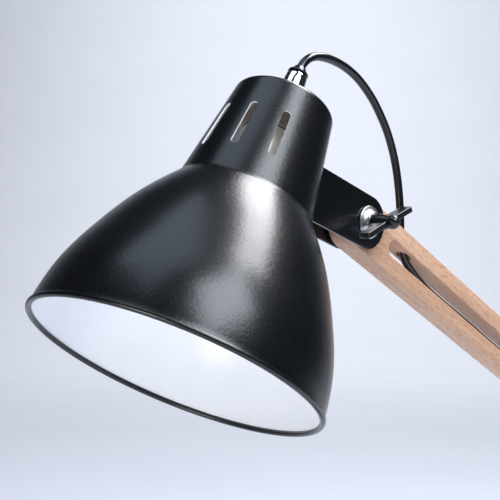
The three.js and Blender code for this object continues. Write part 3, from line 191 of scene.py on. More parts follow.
def bake_modifiers(piece):
    """The piece with its modifiers in its mesh, and none left on it."""
    graph = bpy.context.evaluated_depsgraph_get()
    mesh = bpy.data.meshes.new_from_object(piece.evaluated_get(graph))
    piece.modifiers.clear()
    old = piece.data
    piece.data = mesh
    bpy.data.meshes.remove(old)
    smooth(mesh)
    return piece


def combine(piece, tools, operation):
    """The piece cut by, joined with or kept inside each tool, which is then gone."""
    for tool in tools:
        modifier = piece.modifiers.new("tool", "BOOLEAN")
        modifier.object = tool
        modifier.operation = operation
        modifier.solver = "EXACT"
        modifier.material_mode = "TRANSFER"
    bake_modifiers(piece)
    for tool in tools:
        bpy.data.objects.remove(tool)
    return piece


def cut(piece, *tools):
    return combine(piece, tools, "DIFFERENCE")


def soften(piece, width, steps=2, angle=40):
    """Rounds every edge that is sharper than an angle in degrees."""
    modifier = piece.modifiers.new("round edges", "BEVEL")
    modifier.width = width * MM
    modifier.segments = steps
    modifier.limit_method = "ANGLE"
    modifier.angle_limit = math.radians(angle)
    modifier.miter_outer = "MITER_ARC"
    modifier.harden_normals = False
    return bake_modifiers(piece)


def finish_piece(piece, body, stands_for=()):
    """Hands the piece to the body that carries it."""
    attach(piece, body)
    if stands_for:
        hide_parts(*stands_for)
    print(piece.name, "on", body, len(piece.data.polygons), "faces")
    return piece

# %% [markdown]
# ## Finishes
# A finish is a Principled shader with a few textures behind it. Each one reads Object coordinates, or
# the UV map of a turned or drawn piece where the pattern runs round or along it. Numbers that are the
# same all over a surface sit on the shader itself; only colour, roughness and bump are driven.

# %% Short ways to build a finish
NOISE_LOW, NOISE_HIGH = 0.3, 0.7  # nearly all of a noise lies between these


def step(tree, kind, sockets=None, family="ShaderNode", **settings):
    """Adds a node. A socket's value is a number, a vector or another node's output."""
    made = tree.nodes.new(family + kind)
    for key, value in settings.items():
        setattr(made, key, value)
    for key, value in (sockets or {}).items():
        if isinstance(value, bpy.types.NodeSocket):
            tree.links.new(value, made.inputs[key])
        else:
            made.inputs[key].default_value = value
    return made


def new_finish(name, colour, roughness, metallic=0.0, constants=()):
    """A material with a plain shader, its node tree and the shader."""
    material = bpy.data.materials.new(name)
    material.use_nodes = True
    shader = material.node_tree.nodes["Principled BSDF"]
    shader.inputs["Base Color"].default_value = (*colour, 1)
    shader.inputs["Roughness"].default_value = roughness
    shader.inputs["Metallic"].default_value = metallic
    for socket, value in dict(constants).items():
        shader.inputs[socket].default_value = value
    return material, material.node_tree, shader


def grain(tree, scale, stretch=(1, 1, 1), turn=0.0, detail=3.0, source="Object"):
    """Noise with about `scale` grains to the metre, stretched and turned about Y as asked."""
    where = step(tree, "TexCoord").outputs[source]
    level = step(tree, "Mapping", {"Vector": where, "Rotation": (0, math.radians(turn), 0)})
    long = step(tree, "Mapping", {"Vector": level.outputs["Vector"], "Scale": stretch})
    noise = step(tree, "TexNoise", {"Vector": long.outputs["Vector"], "Scale": scale, "Detail": detail})
    return noise.outputs["Fac"]


def between(tree, value, low, high):
    """A noise value spread from one number to another."""
    spread = {"Value": value, "From Min": NOISE_LOW, "From Max": NOISE_HIGH, "To Min": low, "To Max": high}
    return step(tree, "MapRange", spread).outputs["Result"]


def ramp(tree, value, *stops):
    """Colours along a value, each stop being its place and its colour."""
    made = step(tree, "ValToRGB", {"Fac": value})
    elements = made.color_ramp.elements
    while len(elements) < len(stops):
        elements.new(0.5)
    for element, (place, colour) in zip(elements, stops):
        element.position = place
        element.color = (*colour, 1)
    return made.outputs["Color"]


def mixed(tree, share, first, second):
    """One colour over another, by a share that may be a number or a value."""
    made = tree.nodes.new("ShaderNodeMix")
    made.data_type = "RGBA"
    for index, value in ((0, share), (6, first), (7, second)):
        if isinstance(value, bpy.types.NodeSocket):
            tree.links.new(value, made.inputs[index])
        else:
            made.inputs[index].default_value = value
    return made.outputs[2]


def relief(tree, shader, *layers):
    """Stacks bumps on the shader. Each layer is a height value, a strength and a depth in metres."""
    below = None
    for height, strength, depth in layers:
        sockets = {"Height": height, "Strength": strength, "Distance": depth}
        if below is not None:
            sockets["Normal"] = below
        below = step(tree, "Bump", sockets).outputs["Normal"]
    tree.links.new(below, shader.inputs["Normal"])


def drive(tree, shader, **values):
    """Joins values to the shader's inputs, which are named as base_color or roughness."""
    for key, value in values.items():
        tree.links.new(value, shader.inputs[key.replace("_", " ").title()])


# %% [markdown]
# ### Satin black powder paint and the white inside
# Powder paint melts into a skin with a faint orange peel, about a millimetre from hump to hump, with
# much finer dust on top. Both are bump, and the dust also breaks up the gloss, so that a highlight has
# the soft sparkle of the photograph. The inside is the same coat in white, a little glossier.

# %% Paint


def powder_paint(name, low, high, gloss, shine):
    """Two near colours in slow clouds, under an orange peel and a dust."""
    material, tree, shader = new_finish(name, low, gloss, constants={"Specular IOR Level": shine})
    peel = grain(tree, 520, detail=2)
    dust = grain(tree, 3600, detail=1)
    cloud = grain(tree, 22, detail=3)
    drive(
        tree,
        shader,
        base_color=ramp(tree, cloud, (NOISE_LOW, low), (NOISE_HIGH, high)),
        roughness=between(tree, dust, gloss - 0.05, gloss + 0.07),
    )
    relief(tree, shader, (peel, 0.10, 0.0006), (dust, 0.10, 0.00012))
    return material


BLACK_LOW, BLACK_HIGH = (0.0022, 0.0029, 0.0038), (0.0036, 0.0043, 0.0054)
WHITE_LOW, WHITE_HIGH = (0.84, 0.85, 0.87), (0.88, 0.89, 0.90)
BLACK_PAINT = powder_paint("black_powder_paint", BLACK_LOW, BLACK_HIGH, gloss=0.25, shine=0.5)
WHITE_PAINT = powder_paint("white_powder_paint", WHITE_LOW, WHITE_HIGH, gloss=0.24, shine=0.5)
print("paints:", BLACK_PAINT.name, WHITE_PAINT.name)

# %% [markdown]
# ### Beech
# Steamed beech is pinkish tan, with fine wavy streaks along the board and thousands of short dark
# flecks, a few millimetres long and a quarter of a millimetre wide. Noise that is stretched along the
# arm gives all of these, each at its own scale. Each arm has its own copy, turned to its own grain.

# %% Beech
PALE_BEECH = (0.562, 0.340, 0.218)
WARM_BEECH = (0.475, 0.266, 0.158)
LIGHT_BEECH = (0.650, 0.425, 0.290)
DARK_FLECK = (0.238, 0.115, 0.063)
FLECK_SHARE = 0.72


def beech(name, turn):
    """Beech whose grain runs along X once it is turned by some degrees about Y."""
    material, tree, shader = new_finish(name, PALE_BEECH, 0.5)
    board = grain(tree, 30, (0.12, 1, 1), turn, detail=4)
    streak = grain(tree, 240, (0.05, 1, 1), turn, detail=6)
    fleck = grain(tree, 1500, (0.09, 1, 1), turn, detail=2)
    fibre = grain(tree, 5200, (0.03, 1, 1), turn, detail=1)
    tone = mixed(tree, 0.5, board, streak)
    wood = ramp(tree, tone, (0.36, WARM_BEECH), (0.52, PALE_BEECH), (0.68, LIGHT_BEECH))
    marks = ramp(tree, fleck, (0.55, (0, 0, 0)), (0.67, (1, 1, 1)))
    share = step(tree, "Math", {0: marks, 1: FLECK_SHARE}, operation="MULTIPLY").outputs[0]
    drive(
        tree,
        shader,
        base_color=mixed(tree, share, wood, (*DARK_FLECK, 1)),
        roughness=between(tree, fibre, 0.46, 0.62),
    )
    relief(tree, shader, (fibre, 0.18, 0.00012), (fleck, 0.12, 0.0002))
    return material


UPPER_BEECH = beech("beech_upper_arm", -UPPER_ARM_FALL)
LOWER_BEECH = beech("beech_lower_arm", LOWER_ARM_RISE)
print("woods:", UPPER_BEECH.name, LOWER_BEECH.name)

# %% [markdown]
# ### Metals
# The washers, bolts and rivets are turned or struck steel, so their UV map runs round and along the
# profile and the fine tool lines are noise that is drawn out round the piece. The gland is chrome:
# nearly a mirror, with the faint haze of handling. Brass and aluminium sit inside the shade.

# %% Metals


def turned_metal(name, colour, gloss, lines=0.25):
    """Metal with tool lines round it and a slight haze."""
    material, tree, shader = new_finish(name, colour, gloss, 1.0)
    rings = grain(tree, 60, (0.02, 60, 1), detail=3, source="UV")
    haze = grain(tree, 160, detail=3)
    dark = tuple(c * 0.86 for c in colour)
    drive(
        tree,
        shader,
        base_color=ramp(tree, haze, (NOISE_LOW, dark), (NOISE_HIGH, colour)),
        roughness=between(tree, rings, gloss * 0.8, gloss * 1.3),
    )
    relief(tree, shader, (rings, lines, 0.00006), (haze, 0.05, 0.0001))
    return material


STEEL = turned_metal("turned_steel", (0.60, 0.61, 0.62), 0.30)
CHROME = turned_metal("chrome_plate", (0.80, 0.81, 0.83), 0.09, 0.03)
BRASS = turned_metal("plain_brass", (0.55, 0.46, 0.35), 0.34)
ALUMINIUM = turned_metal("rolled_aluminium", (0.72, 0.72, 0.73), 0.34)

# %% [markdown]
# ### Plastics, rubber, porcelain and iron
# The wing nuts are moulded nylon with a clear gloss. The lead's skin is softer and has faint lines
# along it from the die that it was drawn through, so its noise runs along its UV map. Rubber is matt
# and grainy. The lampholder is glazed, the bulb opal, and the weight in the base is rough cast iron.

# %% Plastics and the rest


def moulded(name, colour, gloss, grain_scale, depth):
    """A cast or moulded surface, its grain so many humps to the metre and so many metres deep."""
    material, tree, shader = new_finish(name, colour, gloss)
    skin = grain(tree, grain_scale, detail=2)
    cloud = grain(tree, 60, detail=2)
    light = tuple(min(1.0, c * 1.35 + 0.001) for c in colour)
    drive(
        tree,
        shader,
        base_color=ramp(tree, cloud, (NOISE_LOW, colour), (NOISE_HIGH, light)),
        roughness=between(tree, skin, gloss * 0.8, gloss * 1.25),
    )
    relief(tree, shader, (skin, 0.15, depth))
    return material


def drawn_plastic(name, colour, gloss):
    """Plastic that was drawn through a die, with faint lines along its UV map."""
    material, tree, shader = new_finish(name, colour, gloss)
    lines = grain(tree, 14, (1, 0.15, 1), detail=2, source="UV")
    skin = grain(tree, 900, detail=2)
    light = tuple(c * 1.5 for c in colour)
    drive(
        tree,
        shader,
        base_color=ramp(tree, skin, (0.35, colour), (0.7, light)),
        roughness=between(tree, skin, gloss * 0.85, gloss * 1.2),
    )
    relief(tree, shader, (lines, 0.04, 0.0001), (skin, 0.03, 0.00004))
    return material


NYLON = moulded("moulded_nylon", (0.010, 0.0105, 0.0115), 0.20, 700, 0.0001)
RUBBER = moulded("grainy_rubber", (0.016, 0.016, 0.017), 0.62, 1400, 0.0002)
LEAD = drawn_plastic("black_lead", (0.0060, 0.0065, 0.0080), 0.17)
PORCELAIN = moulded("glazed_porcelain", (0.80, 0.71, 0.61), 0.14, 260, 0.0001)
OPAL = moulded("opal_bulb", (0.86, 0.85, 0.82), 0.30, 300, 0.00005)
IRON = moulded("rough_iron", (0.045, 0.046, 0.048), 0.72, 800, 0.0004)
print("finishes:", len(bpy.data.materials))

# %% [markdown]
# ## The lead
# The lamp has one black round lead, 5.6 mm thick. It rises out of the shade, dips into the upper arm,
# loops over the elbow, runs down the lower arm and goes into the base. From the base's strain relief
# it runs along the table to the switch, and what is left over is wound up behind the lamp. Its points
# are listed one by one, as a real lead is laid, and a smooth curve goes through them.

# %% Smooth lines and tubes
CORD_RADIUS = 2.8
CORD_SIDES = 16
UV_PER_METRE = 10  # lengths along a piece, on its UV map


def curve_at(first, second, leave, arrive, share):
    """The point at a share of a curve that leaves one point and arrives at another with given ways."""
    way = second - first
    bent = way * 3 - leave * 2 - arrive
    return first + leave * share + bent * share**2 + (leave + arrive - way * 2) * share**3


def smooth_line(points, steps):
    """A centripetal curve through points, with a number of steps from each to the next."""
    knots = [Vector(p) for p in points]
    ends = [knots[0] * 2 - knots[1], *knots, knots[-1] * 2 - knots[-2]]
    line = []
    for before, first, second, after in zip(ends, ends[1:], ends[2:], ends[3:]):
        pairs = ((before, first), (first, second), (second, after))
        early, here, late = (math.sqrt((b - a).length) for a, b in pairs)
        own = (second - first) / here
        leave = (first - before) / early - (second - before) / (early + here) + own
        arrive = own - (after - first) / (here + late) + (after - second) / late
        line += [curve_at(first, second, leave * here, arrive * here, i / steps) for i in range(steps)]
    return [*line, knots[-1]]


def tube(name, line, material, place=LAMP):
    """A round tube along a line in millimetres. Its UV map runs round it and along it."""
    sides = CORD_SIDES
    path = [Vector(p) for p in line]
    last = len(path) - 1
    ways = [(path[min(i + 1, last)] - path[max(i - 1, 0)]).normalized() for i in range(last + 1)]
    side = ways[0].orthogonal().normalized()
    points, faces, uvs = [], [], []
    run = 0.0
    runs = []
    for i, (point, way) in enumerate(zip(path, ways)):
        side = (side - way * side.dot(way)).normalized()
        high = way.cross(side)
        if i:
            run += (point - path[i - 1]).length
        runs.append(run * MM * UV_PER_METRE)
        for k in range(sides):
            angle = 2 * math.pi * k / sides
            points.append(point + (side * math.cos(angle) + high * math.sin(angle)) * CORD_RADIUS)
    for i in range(1, len(path)):
        for k in range(sides):
            after = (k + 1) % sides
            low, top = (i - 1) * sides, i * sides
            faces.append((low + k, low + after, top + after, top + k))
            left, right = k / sides, (k + 1) / sides
            uvs += [(left, runs[i - 1]), (right, runs[i - 1]), (right, runs[i]), (left, runs[i])]
    faces += [tuple(range(sides)), tuple(last * sides + k for k in range(sides))]
    uvs += [(0.5, 0.0)] * (sides * 2)
    return piece_from(name, points, faces, [material], place, corner_uvs=uvs)


def length_of(line):
    return sum((Vector(b) - Vector(a)).length for a, b in zip(line, line[1:]))


def in_metres(line, place=LAMP):
    return [place @ (Vector(p) * MM) for p in line]


# %% [markdown]
# ### Where the lead goes
# The lengths that lie free never bend tighter than about four times the lead's thickness. Each list
# holds the points of one stretch, in millimetres, in the frame that the comment above it names.

# %% The routes
# From the lampholder up through the gland, over the head and into the upper arm, from the head's bolt
HEAD_ROUTE = [
    (-83.9, 0, 49.5), (-60.6, 0, 92.1), (-56.6, 0, 97.4), (-51.8, 0, 101.1), (-46, 0, 103.5),
    (-39, 0, 104.6), (-30, 0, 104.6), (-20, 0, 103.4), (-10, 0, 100.9), (0, 0, 96.9), (9.5, 0, 91.2),
    (18.5, 0, 84.3), (26.3, 0, 76.4), (33.6, 0, 67.6), (39.6, 0, 58.2), (44.6, 0, 47.8), (48.5, 0, 36.5),
    (51.4, 0, 24.5), (53.4, 0, 12), (54.4, 0, 0.5), (54.4, 0, -5.9), (54.7, 0, -8.9),
]
# Along the upper arm's slot, in the arm's own frame
UPPER_ROUTE = [
    (53.6, 0, 14.6), (55.2, 0, 12.1), (58.9, 0, 8), (66.3, 0, 3.3), (76, 0, 0.9), (87, 0, -1.2),
    (100, 0, -2.6), (165, 0, -2.6), (230, 0, -2.6), (243, 0, -1.2), (254, 0, 0.9), (263.7, 0, 3.3),
    (271.1, 0, 8), (274.8, 0, 12.1), (276.4, 0, 14.6),
]
# Over the elbow, from the elbow's bolt
ELBOW_ROUTE = [
    (-42.3, 0, 35.8), (-39.8, 0, 37.4), (-33.6, 0, 43.8), (-24, 0, 52), (-10.5, 0, 58.2), (6, 0, 60.2),
    (24, 0, 57), (40.5, 0, 48), (53.5, 0, 33.5), (61, 0, 14.5), (62.3, 0, -6), (58.5, 0, -27),
    (50, 0, -47), (37, 0, -65.5), (21, 0, -80), (4.5, 0, -89.2), (-12.9, 0, -92),
    (-21.7, 0, -91.4), (-24.6, 0, -91.85),
]
# Down the lower arm's slot, in the arm's own frame
LOWER_ROUTE = [
    (235.9, 0, -14.6), (234.3, 0, -12.1), (230.6, 0, -8), (223.2, 0, -3.3), (212.5, 0, -1.3),
    (197.5, 0, -1.8), (170, 0, -2.6), (120, 0, -2.6), (92, 0, -1.8), (77, 0, -1.3), (66.3, 0, -3.3),
    (58.9, 0, -8), (55.2, 0, -12.1), (53.6, 0, -14.6),
]
# From the lower arm into the base's grommet
FOOT_ROUTE = [
    (35.3, 0, 93.6), (36.9, 0, 91.1), (43.4, 0, 84.8), (51.4, 0, 75.4), (57.4, 0, 64.7), (60.9, 0, 52.8),
    (62, 0, 40), (62, 0, 24.4),
]
# From the strain relief along the table to the switch
RUN_ROUTE = [
    (121.3, 0, 9), (133, -0.6, 8.8), (147, -3, 7.2), (163, -6.3, 4.6), (181, -9.4, 3), (199, -9, 3),
    (216, -4.3, 3), (230, 6, 3), (239.3, 22, 3), (241.7, 40, 3), (238, 64, 3), (226.5, 86, 3),
    (208, 103.5, 3), (186, 116, 3), (163, 123.3, 4.2), (148, 126, 6.8), (134.5, 127, 9),
]
# From the switch to the coil, and from the coil to the plug
TAIL_ROUTE = [(75.5, 127, 9), (63, 127.5, 7.8), (47, 128.3, 5.4), (28, 128.5, 4.5), (0.9, 128.5, 4.5)]
END_ROUTE = [
    (0.9, 211.5, 10.7), (16, 211.4, 10), (32, 208.8, 8.3), (46, 204.4, 7.2), (54, 203.1, 7),
    (60.6, 203, 7),
]
LINE_STEPS = 6
print("lead in the upper arm:", round(length_of(smooth_line(UPPER_ROUTE, LINE_STEPS))), "mm")

# %% [markdown]
# ### The coil
# What the photograph doesn't show is put away as a shop would pack it: a neat coil in two layers. It
# spirals in, climbs a layer in the half turn where it reverses, and spirals out again on top.

# %% The coil's turns
COIL_MIDDLE = (-5, 170)
COIL_PITCH = 6.2
COIL_LAYER_RISE = 6.2
COIL_TURNS_PER_LAYER = 3
COIL_MEAN_RADIUS = 32.2
COIL_LOW = 4.5
COIL_STEPS_PER_TURN = 48
COIL_INNER = COIL_MEAN_RADIUS - COIL_PITCH * COIL_TURNS_PER_LAYER / 2


def coil_line():
    """The middle line of the coil, from its outer end below to its outer end on top."""
    layer = COIL_TURNS_PER_LAYER * COIL_STEPS_PER_TURN
    climb = COIL_STEPS_PER_TURN // 2
    line = []
    for i in range(layer * 2 + climb + 1):
        rise = min(max((i - layer) / climb, 0), 1)
        out = max(layer - i, i - layer - climb, 0) * COIL_PITCH / COIL_STEPS_PER_TURN
        dip = COIL_PITCH / (2 * math.pi) * math.sin(math.pi * rise)
        radius = COIL_INNER + out - dip
        angle = -math.pi / 2 - 2 * math.pi * i / COIL_STEPS_PER_TURN
        eased = rise * rise * (3 - 2 * rise)
        x = COIL_MIDDLE[0] + radius * math.cos(angle)
        y = COIL_MIDDLE[1] + radius * math.sin(angle)
        line.append((x, y, COIL_LOW + COIL_LAYER_RISE * eased))
    return line


coil = coil_line()
print("coil:", len(coil), "points,", round(length_of(coil)), "mm of lead")

# %% [markdown]
# ### The loops across the hinges
# The loops over the head, over the elbow and at the foot cross the hinges. Each is a tube through its
# points, laid out from its hinge's bolt, and it stands in for the CAD solid of its loop.

# %% The loops across the hinges


def free_loop(name, route, pivot, cad_node):
    """A loop of the lead across one hinge. Its points are given from the pivot."""
    place = Matrix.Translation(pivot * MM)
    line = smooth_line(route, LINE_STEPS)
    made = tube(name, line, LEAD, place=place)
    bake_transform(made)
    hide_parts(cad_node)
    print(name, round(length_of(line)), "mm")


free_loop("lead_over_head", HEAD_ROUTE, HEAD, "head_lead")
free_loop("lead_over_elbow", ELBOW_ROUTE, ELBOW, "elbow_lead")
free_loop("lead_at_foot", FOOT_ROUTE, Vector(), "base_lead")

# %% [markdown]
# ### The held lengths
# Inside the arms and the base the lead moves with the wood or the steel round it, so each of these
# lengths is a stiff tube that rides on its own body.

# %% The lengths that the arms and the base hold
GROMMET_PLACE = 62
LEAD_EXIT_HEIGHT = 9
INNER_BEND_RADIUS = 13
INNER_BEND_STEPS = 12


def inner_line():
    """Down through the grommet, round a quarter bend and out through the strain relief."""
    line = [(GROMMET_PLACE, 0, FOOT_ROUTE[-1][2])]
    for i in range(INNER_BEND_STEPS + 1):
        angle = math.pi / 2 * i / INNER_BEND_STEPS
        x = GROMMET_PLACE + INNER_BEND_RADIUS * (1 - math.cos(angle))
        line.append((x, 0, LEAD_EXIT_HEIGHT + INNER_BEND_RADIUS * (1 - math.sin(angle))))
    return [*line, (RUN_ROUTE[0][0], 0, LEAD_EXIT_HEIGHT)]


for name, line, place, body, cad_node in (
    ("lead_in_upper_arm", smooth_line(UPPER_ROUTE, LINE_STEPS), UPPER_ARM, "upper_arm", "upper_arm_lead"),
    ("lead_in_lower_arm", smooth_line(LOWER_ROUTE, LINE_STEPS), LOWER_ARM, "lower_arm", "lower_arm_lead"),
    ("lead_in_base", inner_line(), LAMP, "base", "base_inner_lead"),
):
    finish_piece(tube(name, line, LEAD, place=place), body, [cad_node])

# %% [markdown]
# ## Turned pieces
# Washers, bolts, bushes, rivets, the gland and the lampholder are all turned: one profile goes round an
# axis. The CAD solids have few sides, but their profiles are exact, so a turned piece measures the
# profile on its CAD node, rounds the hard corners a little, runs a smooth curve through the gentle
# ones and turns it again with many sides.

# %% Measure a profile and turn it
TURNED_SIDES = 72
GENTLE = math.radians(38)  # a corner that turns less is part of a curve
SMALL_SIDES = 48
EDGE_ROUND = 0.25
CORNER_SHARE = 0.35  # of a side, at most, goes into a rounded corner
CORNER_STEPS = 4
CURVE_SHARES = (0.2, 0.4, 0.6, 0.8)
ON_AXIS = 1e-3


def profile_of(node, place):
    """The profile of a turned CAD node as (radius, height) in millimetres, about Z of `place`."""
    work = bmesh.new()
    work.from_mesh(frame["nodes"][node].data)
    bmesh.ops.remove_doubles(work, verts=work.verts, dist=1e-6)
    local = {v: place.inverted() @ v.co / MM for v in work.verts}
    angle_of = {v: math.atan2(p.y, p.x) for v, p in local.items() if math.hypot(p.x, p.y) > 0.02}
    first = min(angle_of.values(), key=lambda a: (abs(a), a))
    line = {v for v in work.verts if v not in angle_of or abs(angle_of[v] - first) < 0.01}
    links = {v: [e.other_vert(v) for e in v.link_edges if e.other_vert(v) in line] for v in line}
    start = min(line, key=lambda v: (len(links[v]), local[v].z))
    ordered, here = [start], start
    while True:
        ahead = [v for v in links[here] if v not in ordered]
        if not ahead:
            break
        here = ahead[0]
        ordered.append(here)
    closed = len(links[start]) > 1
    profile = [(math.hypot(local[v].x, local[v].y), local[v].z) for v in ordered]
    work.free()
    return profile, closed


def rounded_corner(before, corner, after, size):
    """A few points round a corner, no longer than a share of its two sides."""
    a, c, b = (Vector(p) for p in (before, corner, after))
    near = min(size, (a - c).length * CORNER_SHARE, (b - c).length * CORNER_SHARE)
    start, end = c + (a - c).normalized() * near, c + (b - c).normalized() * near
    shares = [i / CORNER_STEPS for i in range(CORNER_STEPS + 1)]
    return [tuple(start * (1 - t) ** 2 + c * 2 * t * (1 - t) + end * t**2) for t in shares]


def refined(profile, closed, size=EDGE_ROUND):
    """The profile with rounded corners, and with curves where it only turns gently."""
    count = len(profile)
    points = [Vector(p) for p in profile]

    def turn_at(i):
        if not closed and i in (0, count - 1):
            return math.pi
        way_in, way_out = points[i] - points[i - 1], points[(i + 1) % count] - points[i]
        return way_in.angle(way_out, 0.0)

    turns = [turn_at(i) for i in range(count)]
    line = []
    for i in range(count if closed else count - 1):
        after = (i + 1) % count
        if not closed and i == 0:
            line.append(tuple(points[0]))
        elif turns[i] > GENTLE:
            line += rounded_corner(points[i - 1], points[i], points[after], size)
        else:
            line.append(tuple(points[i]))
        soft_start, soft_end = turns[i] <= GENTLE, turns[after] <= GENTLE
        if not (soft_start or soft_end):
            continue
        step_out = points[after] - points[i]
        leave = (points[after] - points[i - 1]) / 2 if soft_start else step_out
        arrive = (points[(after + 1) % count] - points[i]) / 2 if soft_end else step_out
        leave = leave.normalized() * step_out.length
        arrive = arrive.normalized() * step_out.length
        for share in CURVE_SHARES:
            line.append(tuple(curve_at(points[i], points[after], leave, arrive, share)))
    if not closed:
        line.append(tuple(points[-1]))
    return line


def turned(name, profile, materials, place=LAMP, sides=TURNED_SIDES, closed=False, zones=None):
    """A profile of (radius, height) turned about Z. `zones` gives each step's material number."""
    points, rings = [], []
    for radius, height in profile:
        if radius < ON_AXIS:
            rings.append([len(points)] * sides)
            points.append((0, 0, height))
            continue
        rings.append(list(range(len(points), len(points) + sides)))
        for k in range(sides):
            angle = 2 * math.pi * k / sides
            points.append((radius * math.cos(angle), radius * math.sin(angle), height))
    faces, uvs, numbers = [], [], []
    run = 0.0
    steps = len(profile) if closed else len(profile) - 1
    for i in range(steps):
        low, high = rings[i], rings[(i + 1) % len(rings)]
        along = math.dist(profile[i], profile[(i + 1) % len(profile)]) * MM * UV_PER_METRE
        for k in range(sides):
            after = (k + 1) % sides
            corners = [
                (low[k], k / sides, run),
                (low[after], (k + 1) / sides, run),
                (high[after], (k + 1) / sides, run + along),
                (high[k], k / sides, run + along),
            ]
            kept = [c for j, c in enumerate(corners) if c[0] not in [d[0] for d in corners[:j]]]
            if len(kept) < 3:
                continue
            faces.append(tuple(c[0] for c in kept))
            uvs += [c[1:] for c in kept]
            numbers.append(zones[i] if zones else 0)
        run += along
    return piece_from(name, points, faces, materials, place, numbers, uvs)

# %% [markdown]
# ## The shade
# The real shade is one sheet of steel, spun into a bell with a tapering cap. Its outline needs only a
# few radii: a smooth curve for the bell, a small step at the crease, a straight cone, a rounded
# shoulder and a shallow dome. The wall is one millimetre thick, black outside and white inside, and
# the rim is rolled over a bead.

# %% The shade's outline
MOUTH_RADIUS = 86.8
BELL_HEIGHT = 106.6
# At even heights, from the mouth to the crease
BELL_BULGE_SHARES = (1, 0.972, 0.9175, 0.8245, 0.7025, 0.5675, 0.411, 0.2195, 0)
CREASE_RADIUS = 43.4
CREASE_STEP = 1.2
CAP_TOP_RADIUS = 32.2
CAP_HEIGHT = 72.9
CAP_TOP = BELL_HEIGHT + CAP_HEIGHT
SHOULDER_RADIUS = 4.0
DOME_RISE = 3.0
SHADE_WALL = 1.0
RIM_BEAD_RADIUS = 1.7
SHADE_SIDES = 144
BELL_STEPS = 48
CREASE_SHARES = (0, 0.25, 0.5, 0.75)
CREASE_SWELL = 0.25
CREASE_FLAT = 0.6
CAP_STEPS = 24
SHOULDER_STEPS = 10
DOME_STEPS = 10
BEAD_STEPS = 24


def bell_point(share):
    """A point of the bell's outer line, from 0 at the mouth to 1 at the crease."""
    radii = [CREASE_RADIUS + s * (MOUTH_RADIUS - CREASE_RADIUS) for s in BELL_BULGE_SHARES]
    place = share * (len(radii) - 1)
    i = min(int(place), len(radii) - 2)
    t = place - i
    before, first, second = radii[max(i - 1, 0)], radii[i], radii[i + 1]
    after = radii[i + 2] if i + 2 < len(radii) else 2 * second - first
    leave, arrive = (second - before) / 2, (after - first) / 2
    return Vector((curve_at(first, second, leave, arrive, t), BELL_HEIGHT * share))


def shade_line():
    """The outer line of the shade, from the rim to the middle of the dome."""
    line = [bell_point(i / BELL_STEPS) for i in range(BELL_STEPS)]
    crease = bell_point(1)
    foot = Vector((CREASE_RADIUS - CREASE_STEP, BELL_HEIGHT + CREASE_STEP))
    for t in CREASE_SHARES:
        swell = Vector((CREASE_SWELL, CREASE_SWELL)) * math.sin(math.pi * t)
        line.append(crease * (1 - t) + foot * t + swell)
    cap_end = Vector((CAP_TOP_RADIUS, CAP_TOP - SHOULDER_RADIUS))
    line += [foot, foot + (cap_end - foot).normalized() * CREASE_FLAT]
    line += [foot.lerp(cap_end, i / CAP_STEPS) for i in range(1, CAP_STEPS)]
    flat = CAP_TOP_RADIUS - SHOULDER_RADIUS
    for i in range(SHOULDER_STEPS + 1):
        angle = math.pi / 2 * i / SHOULDER_STEPS
        way = Vector((math.cos(angle), math.sin(angle)))
        line.append(Vector((flat, CAP_TOP - SHOULDER_RADIUS)) + way * SHOULDER_RADIUS)
    for i in range(1, DOME_STEPS + 1):
        out = 1 - i / DOME_STEPS
        line.append(Vector((flat * out, CAP_TOP + DOME_RISE * (1 - out**2))))
    return line


def inner_line_of(line, wall):
    """The same line moved inwards by the wall."""
    moved = []
    for i, point in enumerate(line):
        way = (line[min(i + 1, len(line) - 1)] - line[max(i - 1, 0)]).normalized()
        moved.append(Vector((max(point.x - way.y * wall, 0.0), point.y + way.x * wall)))
    moved[-1].x = 0.0
    return moved


def bead_arc():
    """Round the rim's bead, from the outer wall under the rim to the inner wall."""
    middle = MOUTH_RADIUS - SHADE_WALL / 2
    meet = math.acos(SHADE_WALL / 2 / RIM_BEAD_RADIUS)
    turn = math.pi + 2 * meet
    radius = RIM_BEAD_RADIUS
    angles = [meet - turn * i / BEAD_STEPS for i in range(BEAD_STEPS + 1)]
    return [Vector((middle + radius * math.cos(a), radius * math.sin(a))) for a in angles]


def spin_shade():
    """The outer line down to the rim, round the bead and back up the inner wall, turned."""
    outer = [p for p in shade_line() if p.y > RIM_BEAD_RADIUS]
    inner = [p for p in inner_line_of(shade_line(), SHADE_WALL) if p.y > RIM_BEAD_RADIUS]
    bead = bead_arc()
    profile = [*reversed(outer), *bead, *inner]
    black_steps = len(outer) + len(bead) - 2
    zones = [0 if i < black_steps else 1 for i in range(len(profile))]
    return turned("lamp_shade", profile, [BLACK_PAINT, WHITE_PAINT], SHADE, SHADE_SIDES, zones=zones)


shade = spin_shade()
print("shade:", len(shade.data.polygons), "faces, mouth", MOUTH_RADIUS * 2, "mm across")

# %% [markdown]
# ### The vents
# Six slots in two groups let the heat out. They follow a rule, three slots 33 degrees apart on either
# side of the cap, so one cutter is drawn and a small node tree copies it round the axis. The copies
# then cut the wall. The cut shows the white coat, which gives each slot its pale rim.
#
# Two trees are needed in this lesson: this one, and later one that copies in a row. Both begin and end
# alike, with named inputs at the start, and at the end copies that are made real and get their finish.

# %% What every copying tree begins and ends with


def shape_step(tree, kind, sockets=None):
    """Adds a node that works on shapes, as `step` adds one that works on values."""
    return step(tree, kind, sockets, family="GeometryNode")


def begin_tree(name, inputs):
    """A tree and its inputs: a shape, the named values with their defaults, and a finish."""
    tree = bpy.data.node_groups.new(name, "GeometryNodeTree")
    for title, kind, value in [("Geometry", "Geometry", None), *inputs, ("Finish", "Material", None)]:
        socket = tree.interface.new_socket(name=title, in_out="INPUT", socket_type="NodeSocket" + kind)
        if value is not None:
            socket.default_value = value
    tree.interface.new_socket(name="Geometry", in_out="OUTPUT", socket_type="NodeSocketGeometry")
    return tree, tree.nodes.new("NodeGroupInput").outputs


